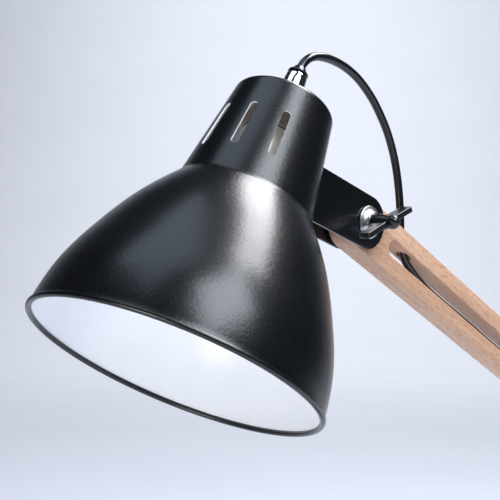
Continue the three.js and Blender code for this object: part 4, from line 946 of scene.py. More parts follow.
def end_tree(tree, given, spots, sockets):
    """Puts a copy of the given shape on every spot, makes the copies real and finishes them."""
    placed = {"Points": spots.outputs["Mesh"], "Instance": given["Geometry"], **sockets}
    copies = shape_step(tree, "InstanceOnPoints", placed)
    real = shape_step(tree, "RealizeInstances", {0: copies.outputs[0]})
    coat = shape_step(tree, "SetMaterial", {"Geometry": real.outputs[0], "Material": given["Finish"]})
    tree.links.new(coat.outputs[0], tree.nodes.new("NodeGroupOutput").inputs[0])
    return tree


# %% A tree that copies a piece round an axis


def copies_round_axis():
    """Copies what it is given round Z: how many, from which angle and how far apart, in degrees."""
    inputs = [("Count", "Int", 3), ("First angle", "Float", 0.0), ("Step angle", "Float", 30.0)]
    tree, given = begin_tree("copies round an axis", inputs)
    spots = shape_step(tree, "MeshLine", {"Count": given["Count"], "Offset": (0, 0, 0)})
    number = shape_step(tree, "InputIndex").outputs[0]
    terms = {0: number, 1: given["Step angle"], 2: given["First angle"]}
    angle = step(tree, "Math", terms, operation="MULTIPLY_ADD").outputs[0]
    turn = step(tree, "Math", {0: angle}, operation="RADIANS").outputs[0]
    about_z = step(tree, "CombineXYZ", {"Z": turn})
    return end_tree(tree, given, spots, {"Rotation": about_z.outputs[0]})


def grow(piece, tree, **values):
    """Runs a node tree on a piece with values for its named inputs, and keeps the result as a mesh."""
    modifier = piece.modifiers.new(tree.name, "NODES")
    modifier.node_group = tree
    named = {item.name: item.identifier for item in tree.interface.items_tree if item.in_out == "INPUT"}
    for name, value in values.items():
        modifier[named[name.replace("_", " ").capitalize()]] = value
    return bake_modifiers(piece)


ROUND_AXIS = copies_round_axis()
print("tree:", ROUND_AXIS.name)

# %% [markdown]
# ### Plates
# Ears, arms, wings, the fork and the plug all begin as a flat outline with a thickness, as they are
# sawn, pressed or moulded. A plate is built from rings of points: the outline is moved inwards step by
# step towards each face, so its edges come out round, and the faces are then filled round the holes.

# %% Plates with rounded edges
SHARPEST_INSET = 0.3  # keeps a point at a sharp corner from flying off


def arc(centre, radius, start, end, steps):
    """Points round a centre, between two angles in degrees."""
    turns = [math.radians(start + (end - start) * i / steps) for i in range(steps + 1)]
    return [(centre[0] + radius * math.cos(t), centre[1] + radius * math.sin(t)) for t in turns]


def stadium(start, end, radius, steps=28):
    """Two parallel sides and round ends, from one centre on X to another."""
    if start == end:
        return arc((start, 0), radius, 90, 450, steps * 2)[:-1]
    return arc((start, 0), radius, 90, 270, steps) + arc((end, 0), radius, -90, 90, steps)


def inset(loop, distance):
    """A loop moved to its left by a distance: inwards where it runs anticlockwise."""
    points = [Vector(p) for p in loop]
    moved = []
    for i, point in enumerate(points):
        way_in = (point - points[i - 1]).normalized()
        way_out = (points[(i + 1) % len(points)] - point).normalized()
        left = Vector((-way_in.y - way_out.y, way_in.x + way_out.x)).normalized()
        share = max(left.dot(Vector((-way_in.y, way_in.x))), SHARPEST_INSET)
        moved.append(point + left * (distance / share))
    return moved


def clockwise(loop):
    """Whether a loop runs clockwise, from the sign of its area."""
    area = sum(a[0] * b[1] - b[0] * a[1] for a, b in zip(loop, [*loop[1:], loop[0]]))
    return area < 0


def plate(name, outline, holes, low, high, materials, place=LAMP, low_edge=0.0, high_edge=None, steps=4):
    """An outline in X and Z with holes, solid from one Y to another, its edges rounded."""
    high_edge = low_edge if high_edge is None else high_edge
    loops = [list(reversed(outline)) if clockwise(outline) else list(outline)]
    loops += [list(hole) if clockwise(hole) else list(reversed(hole)) for hole in holes]
    levels = []
    for edge, height, way in ((low_edge, low, 1), (high_edge, high, -1)):
        rows = []
        for i in range(steps + 1 if edge else 1):
            angle = math.pi / 2 * (i / steps if edge else 1)
            rows.append((edge * (1 - math.sin(angle)), height + way * edge * (1 - math.cos(angle))))
        levels += rows if way == 1 else list(reversed(rows))
    points, faces = [], []
    first_rows, last_rows = [], []
    for loop in loops:
        base = len(points)
        count = len(loop)
        for distance, height in levels:
            points += [(p[0], height, p[1]) for p in inset(loop, distance)]
        for row in range(len(levels) - 1):
            for k in range(count):
                after = (k + 1) % count
                low_row, high_row = base + row * count, base + (row + 1) * count
                faces.append((low_row + k, low_row + after, high_row + after, high_row + k))
        first_rows.append(range(base, base + count))
        last_rows.append(range(base + (len(levels) - 1) * count, base + len(levels) * count))
    for rows in (first_rows, last_rows):
        numbers = [n for row in rows for n in row]
        flat = [[Vector((points[n][0], points[n][2], 0)) for n in row] for row in rows]
        faces += [tuple(numbers[i] for i in corners) for corners in geometry.tessellate_polygon(flat)]
    return piece_from(name, points, faces, materials, place)


def drill(radius, start, end, place, material=None, sides=48):
    """A round bar from one point to another, to cut with."""
    a, b = Vector(start), Vector(end)
    way = (b - a).to_track_quat("Z", "Y").to_matrix().to_4x4()
    profile = [(0, 0), (radius, 0), (radius, (b - a).length), (0, (b - a).length)]
    return turned("drill", profile, [material or BLACK_PAINT], place @ shift(*a) @ way, sides)


# %% [markdown]
# With plates and copies at hand, the six slots and the hole for the threaded tube are one cut each.

# %% Cut the vents
VENT_WIDTH = 5.0
VENT_LENGTH = 32.3
VENT_MIDDLE = 140.7  # above the mouth
VENT_STEP = 33.3  # degrees
FIRST_VENT = -126.0  # degrees from +X
VENTS_IN_GROUP = 3
VENT_END_STEPS = 16
NIPPLE_HOLE = 5.4
NIPPLE_REACH = 20


def vent_cutters():
    """One upright slot, copied to three, and the three copied to the other side."""
    run = (VENT_LENGTH - VENT_WIDTH) / 2
    outline = stadium(-run, run, VENT_WIDTH / 2, VENT_END_STEPS)
    upright = shift(z=VENT_MIDDLE) @ Matrix.Rotation(-math.pi / 2, 4, "Z") @ ALONG_X
    slot = plate(
        "vent_cutter", outline, [], CREASE_RADIUS / 2, CREASE_RADIUS * 1.5, [WHITE_PAINT], upright
    )
    for count, first, apart in ((VENTS_IN_GROUP, FIRST_VENT, -VENT_STEP), (2, 0.0, 180.0)):
        grow(slot, ROUND_AXIS, count=count, first_angle=first, step_angle=apart, finish=WHITE_PAINT)
    slot.data.transform(SHADE)
    return slot


nipple_drill = drill(NIPPLE_HOLE, (0, 0, CAP_TOP - NIPPLE_REACH), (0, 0, CAP_TOP + NIPPLE_REACH), SHADE)
cut(shade, vent_cutters(), nipple_drill)
finish_piece(shade, "head", ["shade"])

# %% [markdown]
# ## The bracket
# A strip of steel is folded into a U: its web is riveted to the cap and follows the cap's wall, and its
# two ears hold the arm. The ears and the web are drawn flat, joined, and trimmed with the cap's own
# cone, and every edge is then rounded as folding and tumbling would leave it.

# %% Fold the bracket
EAR_WIDTH = 35.2
HALF_EAR = EAR_WIDTH / 2
EAR_THICK = 2.0
WEB_THICK = 2.0
GAP = 0.3
HEAD_INNER = 10.15  # half the space between the ears
HEAD_FACE = HEAD_INNER + EAR_THICK
BOLT_HOLE = 3.4
EAR_STEPS = 40
SHEET_EDGE = 0.45
DRILL_REACH = 20
CONE_LEAN = math.atan((CREASE_RADIUS - CREASE_STEP - CAP_TOP_RADIUS) / CAP_HEIGHT)


def cap_radius_at(height):
    """The cap's outer radius at a height above the mouth."""
    foot = CREASE_RADIUS - CREASE_STEP
    return foot + (CAP_TOP_RADIUS - foot) * (height - BELL_HEIGHT) / CAP_HEIGHT


def cheek(side):
    """The two faces of the steel cheek on one side of the arm."""
    return sorted((side * HEAD_INNER, side * HEAD_FACE))


def ear_run():
    """From the bolt to the cap's wall, along the ears."""
    lift = math.radians(EAR_LIFT)
    straight = PIVOT_FROM_AXIS - cap_radius_at(PIVOT_FROM_MOUTH)
    return straight / (math.cos(lift) + math.sin(lift) * math.tan(CONE_LEAN))


EAR_RUN = ear_run()
EARS = SHADE @ shift(PIVOT_FROM_AXIS, 0, PIVOT_FROM_MOUTH) @ Matrix.Rotation(-math.radians(EAR_LIFT), 4, "Y")
WALL = (
    SHADE
    @ shift(
        PIVOT_FROM_AXIS - EAR_RUN * math.cos(math.radians(EAR_LIFT)),
        0,
        PIVOT_FROM_MOUTH - EAR_RUN * math.sin(math.radians(EAR_LIFT)),
    )
    @ Matrix.Rotation(-CONE_LEAN, 4, "Y")
)
print("ears:", round(EAR_RUN, 1), "mm from the bolt to the cap")


def block(name, low, high, place, material=None):
    """A box between two corners, to cut or join with."""
    corners = list(itertools.product(*zip(low, high)))
    faces = [(0, 1, 3, 2), (4, 6, 7, 5), (0, 4, 5, 1), (2, 3, 7, 6), (0, 2, 6, 4), (1, 5, 7, 3)]
    return piece_from(name, corners, faces, [material or BLACK_PAINT], place)


def cap_tool(clearance):
    """The cap's cone and a clearance, to cut with."""
    low, high = BELL_HEIGHT + CREASE_STEP, CAP_TOP + 2
    wall = [(cap_radius_at(height) + clearance, height) for height in (low, high)]
    return turned("cap_tool", [(0, low), *wall, (0, high)], [BLACK_PAINT], SHADE, SHADE_SIDES)


def make_bracket():
    """Two ears and a web, trimmed to the ears' height, joined and cut to the cap."""
    reach = EAR_RUN + HALF_EAR / 2
    outline = [(-reach, -HALF_EAR), *arc((0, 0), HALF_EAR, -90, 90, EAR_STEPS), (-reach, HALF_EAR)]
    ears = [plate("ear", outline, [], *cheek(side), [BLACK_PAINT], EARS) for side in (-1, 1)]
    depth = HALF_EAR / 2
    front = GAP + WEB_THICK
    web = block("web", (front - depth, -HEAD_FACE, -HALF_EAR), (front, HEAD_FACE, HALF_EAR), WALL)
    trim = block("trim", (-reach * 2, -HEAD_FACE * 2, -HALF_EAR), (0, HEAD_FACE * 2, HALF_EAR), EARS)
    combine(web, [trim], "INTERSECT")
    bracket = combine(ears[0], [ears[1], web], "UNION")
    cut(bracket, cap_tool(GAP), drill(BOLT_HOLE, (0, -DRILL_REACH, 0), (0, DRILL_REACH, 0), EARS))
    bracket.name = "shade_bracket_folded"
    return soften(bracket, SHEET_EDGE, 3)


finish_piece(make_bracket(), "head", ["shade_bracket"])

# %% [markdown]
# ## The arms
# Each arm is one beech board with round ends, a long slot for the lead and two slanted holes by which
# the lead goes in and out. The edges are broken by a router, so an edge radius is part of the plate.
# The holes are drilled afterwards, as in the workshop.

# %% Saw, slot and drill the arms
ARM_WIDTH = 35.9
HALF_ARM = ARM_WIDTH / 2
UPPER_ARM_THICK = 17.1
LOWER_ARM_THICK = 19.7
ARM_EDGE = 0.9
SLOT_HALF = 5.8
SLOT_START = 32.9
CORD_HOLE_RADIUS = 5.2
CORD_HOLE_SLANT = 52.7  # degrees between the hole and the arm
CORD_HOLE_PLACE = 57.5
NOSE_MIDDLE = 282.05
LOWER_SLOT_END = 244
RIVET_PLACES = (269.6, 287.6)
RIVET_HOLE = 2.5
CORD_HOLE_FROM, CORD_HOLE_TO = -12, 22  # along the drill, from the middle of the arm's side
BOLT_HOLE_REACH = 15
BOLT_HOLE_SIDES = 40


def cord_hole(place, facing, edge, arm, wood):
    """A slanted drill through one side of an arm. facing is 1 where the bolt lies at lower X."""
    middle = Vector((place, 0, edge * (HALF_ARM + SLOT_HALF) / 2))
    lean = math.radians(90 - CORD_HOLE_SLANT) * facing
    way = Vector((-math.sin(lean), 0, math.cos(lean) * edge))
    start, end = middle + way * CORD_HOLE_FROM, middle + way * CORD_HOLE_TO
    return drill(CORD_HOLE_RADIUS, start, end, arm, wood)


def bolt_hole(place, arm, wood, radius=BOLT_HOLE):
    """A drill straight through an arm, at a place along it."""
    reach = BOLT_HOLE_REACH
    return drill(radius, (place, -reach, 0), (place, reach, 0), arm, wood, BOLT_HOLE_SIDES)


def make_arm(name, end, slot_end, thick, holes, arm, wood):
    """A board with round ends and a slot, drilled."""
    slot = stadium(SLOT_START + SLOT_HALF, slot_end - SLOT_HALF, SLOT_HALF, 20)
    outline = stadium(0, end, HALF_ARM, 40)
    board = plate(name, outline, [slot], -thick / 2, thick / 2, [wood], arm, low_edge=ARM_EDGE)
    return cut(board, *holes)


upper_arm = make_arm(
    "beech_upper_arm",
    ARM_SPAN,
    ARM_SPAN - SLOT_START,
    UPPER_ARM_THICK,
    [
        bolt_hole(0, UPPER_ARM, UPPER_BEECH),
        bolt_hole(ARM_SPAN, UPPER_ARM, UPPER_BEECH),
        cord_hole(CORD_HOLE_PLACE, 1, 1, UPPER_ARM, UPPER_BEECH),
        cord_hole(ARM_SPAN - CORD_HOLE_PLACE, -1, 1, UPPER_ARM, UPPER_BEECH),
    ],
    UPPER_ARM,
    UPPER_BEECH,
)
finish_piece(upper_arm, "upper_arm", ["upper_arm"])
lower_arm = make_arm(
    "beech_lower_arm",
    NOSE_MIDDLE,
    LOWER_SLOT_END,
    LOWER_ARM_THICK,
    [
        bolt_hole(0, LOWER_ARM, LOWER_BEECH),
        cord_hole(CORD_HOLE_PLACE, 1, -1, LOWER_ARM, LOWER_BEECH),
        cord_hole(LOWER_SLOT_END - 12, -1, -1, LOWER_ARM, LOWER_BEECH),
        *(bolt_hole(p, LOWER_ARM, LOWER_BEECH, RIVET_HOLE) for p in RIVET_PLACES),
    ],
    LOWER_ARM,
    LOWER_BEECH,
)
finish_piece(lower_arm, "lower_arm", ["lower_arm"])

# %% [markdown]
# The lower arm stops short of the elbow's bolt. Two steel cheeks are riveted to it and carry the bolt,
# as wide apart as the ears of the bracket, so that the same bushes fit both.

# %% The steel plates at the elbow
ELBOW_PLATE_EDGE = 0.4
ELBOW_PLATE_STEPS = 36
plate_outline = stadium(RIVET_PLACES[0], ARM_SPAN, HALF_EAR, ELBOW_PLATE_STEPS)
for side, name in ((-1, "near"), (1, "far")):
    title = "elbow_plate_" + name + "_painted"
    faces = cheek(side)
    steel_plate = plate(title, plate_outline, [], *faces, [BLACK_PAINT], LOWER_ARM, ELBOW_PLATE_EDGE)
    cut(steel_plate, bolt_hole(ARM_SPAN, LOWER_ARM, BLACK_PAINT))
    finish_piece(steel_plate, "lower_arm", ["elbow_plate_" + name])

# %% [markdown]
# ## The hinges
# The three hinges take the same hardware, as a maker would order it: a domed bolt from the far side,
# two nylon bushes, a turned cone washer and a moulded wing nut. The record says which body carries
# each solid and which finish it has, and a piece that stands for a solid looks up its body by that
# solid's name.

# %% Bolts, bushes and cone washers
BODY_OF = {node: body for body, nodes in frame["record"]["behaviour"]["bodies"].items() for node in nodes}
HINGES = {"head": HEAD, "elbow": ELBOW, "base": FOOT}


def stand_in(made, *nodes):
    """Hands a piece to the body of the nodes that it stands for."""
    return finish_piece(made, BODY_OF[nodes[0]], nodes)


def turned_like(node, name, material, place, sides=TURNED_SIDES, size=EDGE_ROUND):
    """A finer copy of a turned node."""
    profile, closed = profile_of(node, place)
    return stand_in(turned(name, refined(profile, closed, size), [material], place, sides, closed), node)


for hinge, bolt in HINGES.items():
    axis = shift(*bolt) @ TOWARDS_NUTS
    turned_like(hinge + "_bolt", hinge + "_bolt_domed", STEEL, axis, size=0.5)
    turned_like(hinge + "_spacer_near", hinge + "_bush_near", NYLON, axis)
    turned_like(hinge + "_spacer_far", hinge + "_bush_far", NYLON, axis)
    turned_like(hinge + "_cone_washer", hinge + "_washer_turned", STEEL, axis, sides=96)

# %% [markdown]
# ### The wing nuts
# A wing nut is a waisted hub with a ball on top, and two flat wings with square tips. The hub is
# turned, the wings are cut from a plate with rounded edges, and the two are moulded into one, with a
# small fillet where they meet. Its bore takes the bolt's end.

# %% Mould the wing nuts
NUT_TURN = -23  # degrees of the wings from level
NUT_HEIGHT = 14
NUT_FOOT_RADIUS = 6
NUT_NECK_RADIUS = 4.4
NUT_BALL_RADIUS = 4.8
NUT_BORE_DEPTH = 13
HUB_SIDES = 64
WING_REACH = 26
WING_THICK = 3.8
WING_TOP = 13.02
WING_LOW = 4.52
WING_CORNER = 1.5
WASHER_STACK = 5.2  # from the bracket's face to the nut's foot
FORK_FACE = 13.95
NUT_FACES = {"head": HEAD_FACE, "elbow": HEAD_FACE, "base": FORK_FACE}
NUT_EDGE, WING_EDGE = 0.35, 0.45
WING_ROOT_LOW, WING_ROOT_TOP, WING_SPINE = 0.16, 0.94, 0.12  # shares of the nut's and the wing's height
HUB_FOOT_TOP, HUB_NECK = 0.2, 0.75  # shares of the nut's height
BALL_ANGLES = range(-30, 90, 6)  # degrees above level


def soft_corner(start, corner, end, steps=6):
    """The points of a smooth bend from one point to another, towards a corner."""
    a, c, b = (Vector(p) for p in (start, corner, end))
    shares = [i / steps for i in range(steps + 1)]
    return [a * (1 - t) ** 2 + c * 2 * t * (1 - t) + b * t * t for t in shares]


def wing_outline():
    """One wing from its root round its two soft corners, and the other as its mirror image."""
    near = WING_REACH - WING_CORNER
    low = soft_corner((near, WING_LOW), (WING_REACH, WING_LOW), (WING_REACH, WING_LOW + WING_CORNER))
    top = soft_corner((WING_REACH, WING_TOP - WING_CORNER), (WING_REACH, WING_TOP), (near, WING_TOP))
    root_low = (NUT_FOOT_RADIUS, NUT_HEIGHT * WING_ROOT_LOW)
    side = [root_low, *low, *top, (NUT_NECK_RADIUS, WING_TOP * WING_ROOT_TOP)]
    return [(0, NUT_HEIGHT * WING_SPINE), *side, *((-x, z) for x, z in reversed(side))]


def hub_profile():
    """A foot, a waist and a ball, as radius and height."""
    profile = [(0, 0), (NUT_FOOT_RADIUS, 0), (NUT_FOOT_RADIUS, NUT_HEIGHT * HUB_FOOT_TOP)]
    profile.append((NUT_NECK_RADIUS, NUT_HEIGHT * HUB_NECK))
    for angle in map(math.radians, BALL_ANGLES):
        out, up = NUT_BALL_RADIUS * math.cos(angle), NUT_BALL_RADIUS * math.sin(angle)
        profile.append((out, NUT_HEIGHT + up))
    return [*profile, (0, NUT_HEIGHT + NUT_BALL_RADIUS)]


def wing_nut(name, bolt, foot):
    """A nut on a bolt, its foot at a distance from the arm's middle."""
    turn = Matrix.Rotation(math.radians(NUT_TURN), 4, "Y")
    place = shift(*bolt) @ turn @ TOWARDS_NUTS @ shift(z=foot)
    half = WING_THICK / 2
    hub = turned(name, hub_profile(), [NYLON], place, HUB_SIDES)
    wings = plate("wings", wing_outline(), [], -half, half, [NYLON], place, low_edge=WING_EDGE)
    combine(hub, [wings], "UNION")
    cut(hub, drill(BOLT_HOLE, (0, 0, -1), (0, 0, NUT_BORE_DEPTH), place, NYLON))
    return soften(hub, NUT_EDGE, 3, 35)


for hinge, bolt in HINGES.items():
    nut = wing_nut(hinge + "_wings_moulded", bolt, NUT_FACES[hinge] + WASHER_STACK)
    stand_in(nut, hinge + "_wing_nut")

# %% [markdown]
# ### Rivets, screws and ribs
# Rivets and screws come in rows, and so do the ribs of a strain relief, which also get smaller towards
# its tip. One tree makes them all: it copies a piece along a step and can scale the last copy.

# %% A tree that copies a piece in a row


def copies_in_row():
    """Copies what it is given along a step, in metres, down to a share of its size at the last copy."""
    inputs = [("Count", "Int", 2), ("Step", "Vector", (0, 0, 0.01)), ("Last size", "Float", 1.0)]
    tree, given = begin_tree("copies in a row", inputs)
    spots = shape_step(tree, "MeshLine", {"Count": given["Count"], "Offset": given["Step"]})
    number = shape_step(tree, "InputIndex").outputs[0]
    last = step(tree, "Math", {0: given["Count"], 1: 1}, operation="SUBTRACT").outputs[0]
    sizes = {"Value": number, "From Max": last, "To Min": 1, "To Max": given["Last size"]}
    size = step(tree, "MapRange", sizes).outputs[0]
    thinner = step(tree, "CombineXYZ", {"X": size, "Y": size, "Z": 1})
    return end_tree(tree, given, spots, {"Scale": thinner.outputs[0]})


IN_A_ROW = copies_in_row()
print("tree:", IN_A_ROW.name)


def row_of(piece, count, step, finish, last_size=1.0):
    """The piece and its copies along a step in metres."""
    way = [float(v) for v in step]
    return grow(piece, IN_A_ROW, count=count, step=way, last_size=last_size, finish=finish)


def row_like(nodes, name, material, first, step, recess=None):
    """A row of equal turned nodes as one piece, the first one measured on its node."""
    profile, closed = profile_of(nodes[0], first)
    made = turned(name, refined(profile, closed), [material], first, SMALL_SIDES, closed)
    if recess:
        cut(made, *recess)
    row_of(made, len(nodes), first.to_3x3() @ (Vector(step) * MM), material)
    return stand_in(made, *nodes)


# %% [markdown]
# Two rivets hold the bracket's web to the cap and two more hold the elbow's plates to the lower arm.
# Each pair is one row.

# %% Rivet the bracket and the elbow plates
RIVET_SPACING = 18
row_like(
    ["bracket_rivet_low", "bracket_rivet_high"],
    "bracket_rivets",
    STEEL,
    WALL @ shift(z=-RIVET_SPACING / 2) @ ALONG_X,
    (-RIVET_SPACING, 0, 0),
)
row_like(
    ["elbow_rivet_low", "elbow_rivet_high"],
    "elbow_rivets",
    STEEL,
    LOWER_ARM @ shift(RIVET_PLACES[0]) @ TOWARDS_NUTS,
    (RIVET_SPACING, 0, 0),
)

# %% [markdown]
# ## The cable entry and the lampholder
# A chrome gland stands on the cap, with a black grip on top that holds the lead. Under the cap a nut
# and a threaded tube hold a brass cover, a porcelain lampholder and the bulb. All of it is turned.

# %% Turn the entry, the lampholder and the bulb
turned_like("cable_gland", "chrome_gland", CHROME, SHADE, sides=96, size=0.4)
turned_like("cord_grip", "lead_grip", NYLON, SHADE, size=0.35)
turned_like("holder_cover", "holder_cover_brass", BRASS, SHADE, sides=96)
turned_like("holder_body", "holder_porcelain", PORCELAIN, SHADE, sides=96, size=0.8)
turned_like("bulb_cap", "bulb_cap_rolled", ALUMINIUM, SHADE)
turned_like("bulb_globe", "bulb_opal", OPAL, SHADE, sides=96, size=1.5)

# %% [markdown]
# ## The base
# A pressed steel cover with a rolled shoulder hides a cast weight and stands on a rubber pad. A folded
# steel fork is screwed to its middle and holds the lower arm. The lead goes in through a grommet
# behind the fork and comes out through a ribbed strain relief.

# %% Press the cover and mould the pad
BASE_RADIUS = 95
BASE_HEIGHT = 24
BASE_EDGE_RADIUS = 5
BASE_WALL = 1.5
BASE_LIFT = 1
PAD_RADIUS = 91.5
PAD_THICK = 2
FORK_SCREW_SPACING = 20
SCREW_HOLE = 2.8
GROMMET_HOLE = 4.9
EDGE_STEPS, HEM_STEPS = 12, 8
COVER_SIDES = 160
PAD_SIDES = 128
PAD_RINGS = (34, 52, 70, 84)
RING_FOOT, RING_TOP, RING_DEPTH = 1.2, 0.8, 0.5  # half widths and depth of a pressed ring
PAD_LOW_EDGE, PAD_TOP_EDGE = 0.5, 0.4
COVER_DRILL = (15, 30)  # from below the cover's top to above it
EXIT_DRILL_REACH = 15


def cover_profile():
    """A hem, the rolled shoulder and the flat top, and the same inside."""
    middle = (BASE_RADIUS - BASE_EDGE_RADIUS, BASE_HEIGHT - BASE_EDGE_RADIUS)
    outer = arc(middle, BASE_EDGE_RADIUS, 0, 90, EDGE_STEPS)
    inner = arc(middle, BASE_EDGE_RADIUS - BASE_WALL, 90, 0, EDGE_STEPS)
    half_wall = BASE_WALL / 2
    hem = arc((BASE_RADIUS - half_wall, BASE_LIFT + half_wall), half_wall, 180, 360, HEM_STEPS)
    return [*hem, *outer, (0, BASE_HEIGHT), (0, BASE_HEIGHT - BASE_WALL), *inner]


def pad_profile():
    """A flat pad with four shallow rings pressed into its underside."""
    profile = [(0, 0)]
    for ring in PAD_RINGS:
        profile += [(ring - RING_FOOT, 0), (ring - RING_TOP, RING_DEPTH)]
        profile += [(ring + RING_TOP, RING_DEPTH), (ring + RING_FOOT, 0)]
    profile += [(PAD_RADIUS - PAD_LOW_EDGE, 0), (PAD_RADIUS, PAD_LOW_EDGE)]
    profile += [(PAD_RADIUS, PAD_THICK - PAD_TOP_EDGE), (PAD_RADIUS - PAD_TOP_EDGE, PAD_THICK)]
    return [*profile, (0, PAD_THICK)]


def upright_drill(radius, x, span):
    """A drill straight down at an X, from one height to another."""
    low, high = span
    return drill(radius, (x, 0, low), (x, 0, high), LAMP)


def exit_drill():
    """Level through the cover's side, where the lead comes out."""
    near, far = BASE_RADIUS - EXIT_DRILL_REACH, BASE_RADIUS + EXIT_DRILL_REACH
    return drill(GROMMET_HOLE, (near, 0, LEAD_EXIT_HEIGHT), (far, 0, LEAD_EXIT_HEIGHT), LAMP)


SCREW_PLACES = (-FORK_SCREW_SPACING / 2, FORK_SCREW_SPACING / 2)
cover = turned("base_cover_pressed", cover_profile(), [BLACK_PAINT], LAMP, COVER_SIDES, closed=True)
screw_holes = [upright_drill(SCREW_HOLE, x, COVER_DRILL) for x in SCREW_PLACES]
cut(cover, *screw_holes, upright_drill(GROMMET_HOLE, GROMMET_PLACE, COVER_DRILL), exit_drill())
stand_in(cover, "base_cover")
stand_in(turned("base_pad_moulded", pad_profile(), [RUBBER], LAMP, PAD_SIDES), "base_pad")

# %% [markdown]
# ### The fork
# One strip is folded up on both sides of the arm. Drawn from the front it is a U with round folds, and
# from the side it has the arm's round top, so it is what the two outlines have in common.

# %% Fold the fork
FORK_LOW = 24.3
FORK_THICK = 2.5
FOLD_RADIUS = 4.0  # outside
FOLD_STEPS = 10
FORK_TOP_STEPS = 48
FORK_TRIM = 4  # what is left over above the round top, to be cut away
FORK_DRILL = (20, 30)


def fork_front():
    """The folded strip from the front: one half, and its mirror image."""
    centre = (FORK_FACE - FOLD_RADIUS, FORK_LOW + FOLD_RADIUS)
    top = FOOT_BOLT_HEIGHT + HALF_ARM + FORK_TRIM
    half = arc(centre, FOLD_RADIUS, -90, 0, FOLD_STEPS)
    half += [(FORK_FACE, top), (FORK_FACE - FORK_THICK, top)]
    half += arc(centre, FOLD_RADIUS - FORK_THICK, 0, -90, FOLD_STEPS)
    return [*half, *((-x, z) for x, z in reversed(half))]


def fork_side():
    """The strip from the side: upright edges and the arm's round top."""
    low = FORK_LOW - 2
    top = arc((0, FOOT_BOLT_HEIGHT), HALF_ARM, 0, 180, FORK_TOP_STEPS)
    return [(HALF_ARM, low), *top, (-HALF_ARM, low)]


def fork():
    """The front's shape within the side's, drilled for the bolt and the two screws."""
    across = Matrix.Rotation(math.pi / 2, 4, "Z")
    sheet = plate("fork_folded", fork_front(), [], -HALF_ARM - 2, HALF_ARM + 2, [BLACK_PAINT], across)
    side = plate("shape", fork_side(), [], -DRILL_REACH, DRILL_REACH, [BLACK_PAINT])
    combine(sheet, [side], "INTERSECT")
    bolt = drill(BOLT_HOLE, (0, -DRILL_REACH, FOOT_BOLT_HEIGHT), (0, DRILL_REACH, FOOT_BOLT_HEIGHT), LAMP)
    cut(sheet, bolt, *(upright_drill(SCREW_HOLE, x, FORK_DRILL) for x in SCREW_PLACES))
    return soften(sheet, SHEET_EDGE, 3)


stand_in(fork(), "base_fork")

# %% [markdown]
# The screws have a cross recess, cut into the first one before it is copied.

# %% Screw the fork down
SCREW_TOP = 29.9
RECESS_REACH, RECESS_HALF_WIDTH, RECESS_DEPTH = 2.4, 0.45, 1.4


def cross_recess(place):
    """Two crossed bars that cut a screwdriver's cross into a head."""
    bars = []
    for x, y in ((RECESS_REACH, RECESS_HALF_WIDTH), (RECESS_HALF_WIDTH, RECESS_REACH)):
        low, high = (-x, -y, SCREW_TOP - RECESS_DEPTH), (x, y, SCREW_TOP + 1)
        bars.append(block("bar", low, high, place, STEEL))
    return bars


screws = sorted(["fork_screw_front", "fork_screw_rear"], key=lambda node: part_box(node)[0][0])
first_screw = shift(SCREW_PLACES[0])
screw_step = (FORK_SCREW_SPACING, 0, 0)
row_like(screws, "fork_screws", STEEL, first_screw, screw_step, cross_recess(first_screw))

# %% [markdown]
# ### Rubber where the lead passes
# A grommet keeps the lead off the edge of the hole in the cover, and a ribbed sleeve keeps it from
# being bent sharply where it leaves. The ribs get smaller towards the tip, as the row tree allows.

# %% Mould the grommet and the strain relief
SLEEVE = shift(0, 0, LEAD_EXIT_HEIGHT) @ ALONG_X
RIB_RISE, RIB_HALF_WIDTH, RIB_SINK = 0.5, 0.7, 0.05
RIB_ANGLES = range(0, 360, 30)


def ribs(name, radius, last_radius, first, last, count, place, material):
    """Rounded ribs round Z that follow a taper."""
    ring = []
    for angle in map(math.radians, RIB_ANGLES):
        ring.append((radius + RIB_RISE * math.cos(angle) - RIB_SINK, RIB_HALF_WIDTH * math.sin(angle)))
    made = turned(name, ring, [material], LAMP, SMALL_SIDES, closed=True)
    row_of(made, count, (0, 0, (last - first) / (count - 1) * MM), material, last_radius / radius)
    made.data.transform(place @ shift(z=first))
    return made


turned_like("base_grommet", "grommet", RUBBER, shift(GROMMET_PLACE), size=0.5)
profile, closed = profile_of("base_strain_relief", SLEEVE)
sleeve_profile = refined(profile, closed, 0.4)
relief_sleeve = turned("ribbed_strain_relief", sleeve_profile, [RUBBER], SLEEVE, SMALL_SIDES, closed)
combine(relief_sleeve, [ribs("ribs", 5.6, 3.9, 99.5, 121, 8, SLEEVE, RUBBER)], "UNION")
stand_in(relief_sleeve, "base_strain_relief")

# %% [markdown]
# ## The switch, the tie and the plug
# They lie on the mains lead. The switch is a moulded shell in two halves, hollow inside, with a window
# for the rocker and finger grooves at both ends. The grooves are rows of four, cut with the row tree.

# %% Mould the switch
SWITCH = shift(105, 127)
LYING = Matrix.Rotation(math.pi / 2, 4, "X")  # lays an outline in X and Z on the table
SWITCH_LENGTH = 58
SWITCH_WIDTH = 24
SWITCH_HEIGHT = 18
SWITCH_WALL = 1.6
WINDOW_LENGTH = 19.4
WINDOW_WIDTH = 11.4
ROCKER_TILT = 7
CORD_BORE = 3.15
BORE_REACH = 40
SEAM = SWITCH_HEIGHT / 2
ROUND_END_SHARE = 0.35  # of the switch's width
OUTLINE_STEPS = 10
SEAM_EDGE, BOTTOM_EDGE, TOP_EDGE = 0.25, 2.2, 2.8
GROOVE_STARTS = (-23.0, 13.4)
GROOVES_IN_ROW = 4
GROOVE_WIDTH, GROOVE_STEP, GROOVE_DEPTH, GROOVE_REACH = 1.2, 2.8, 0.6, 6


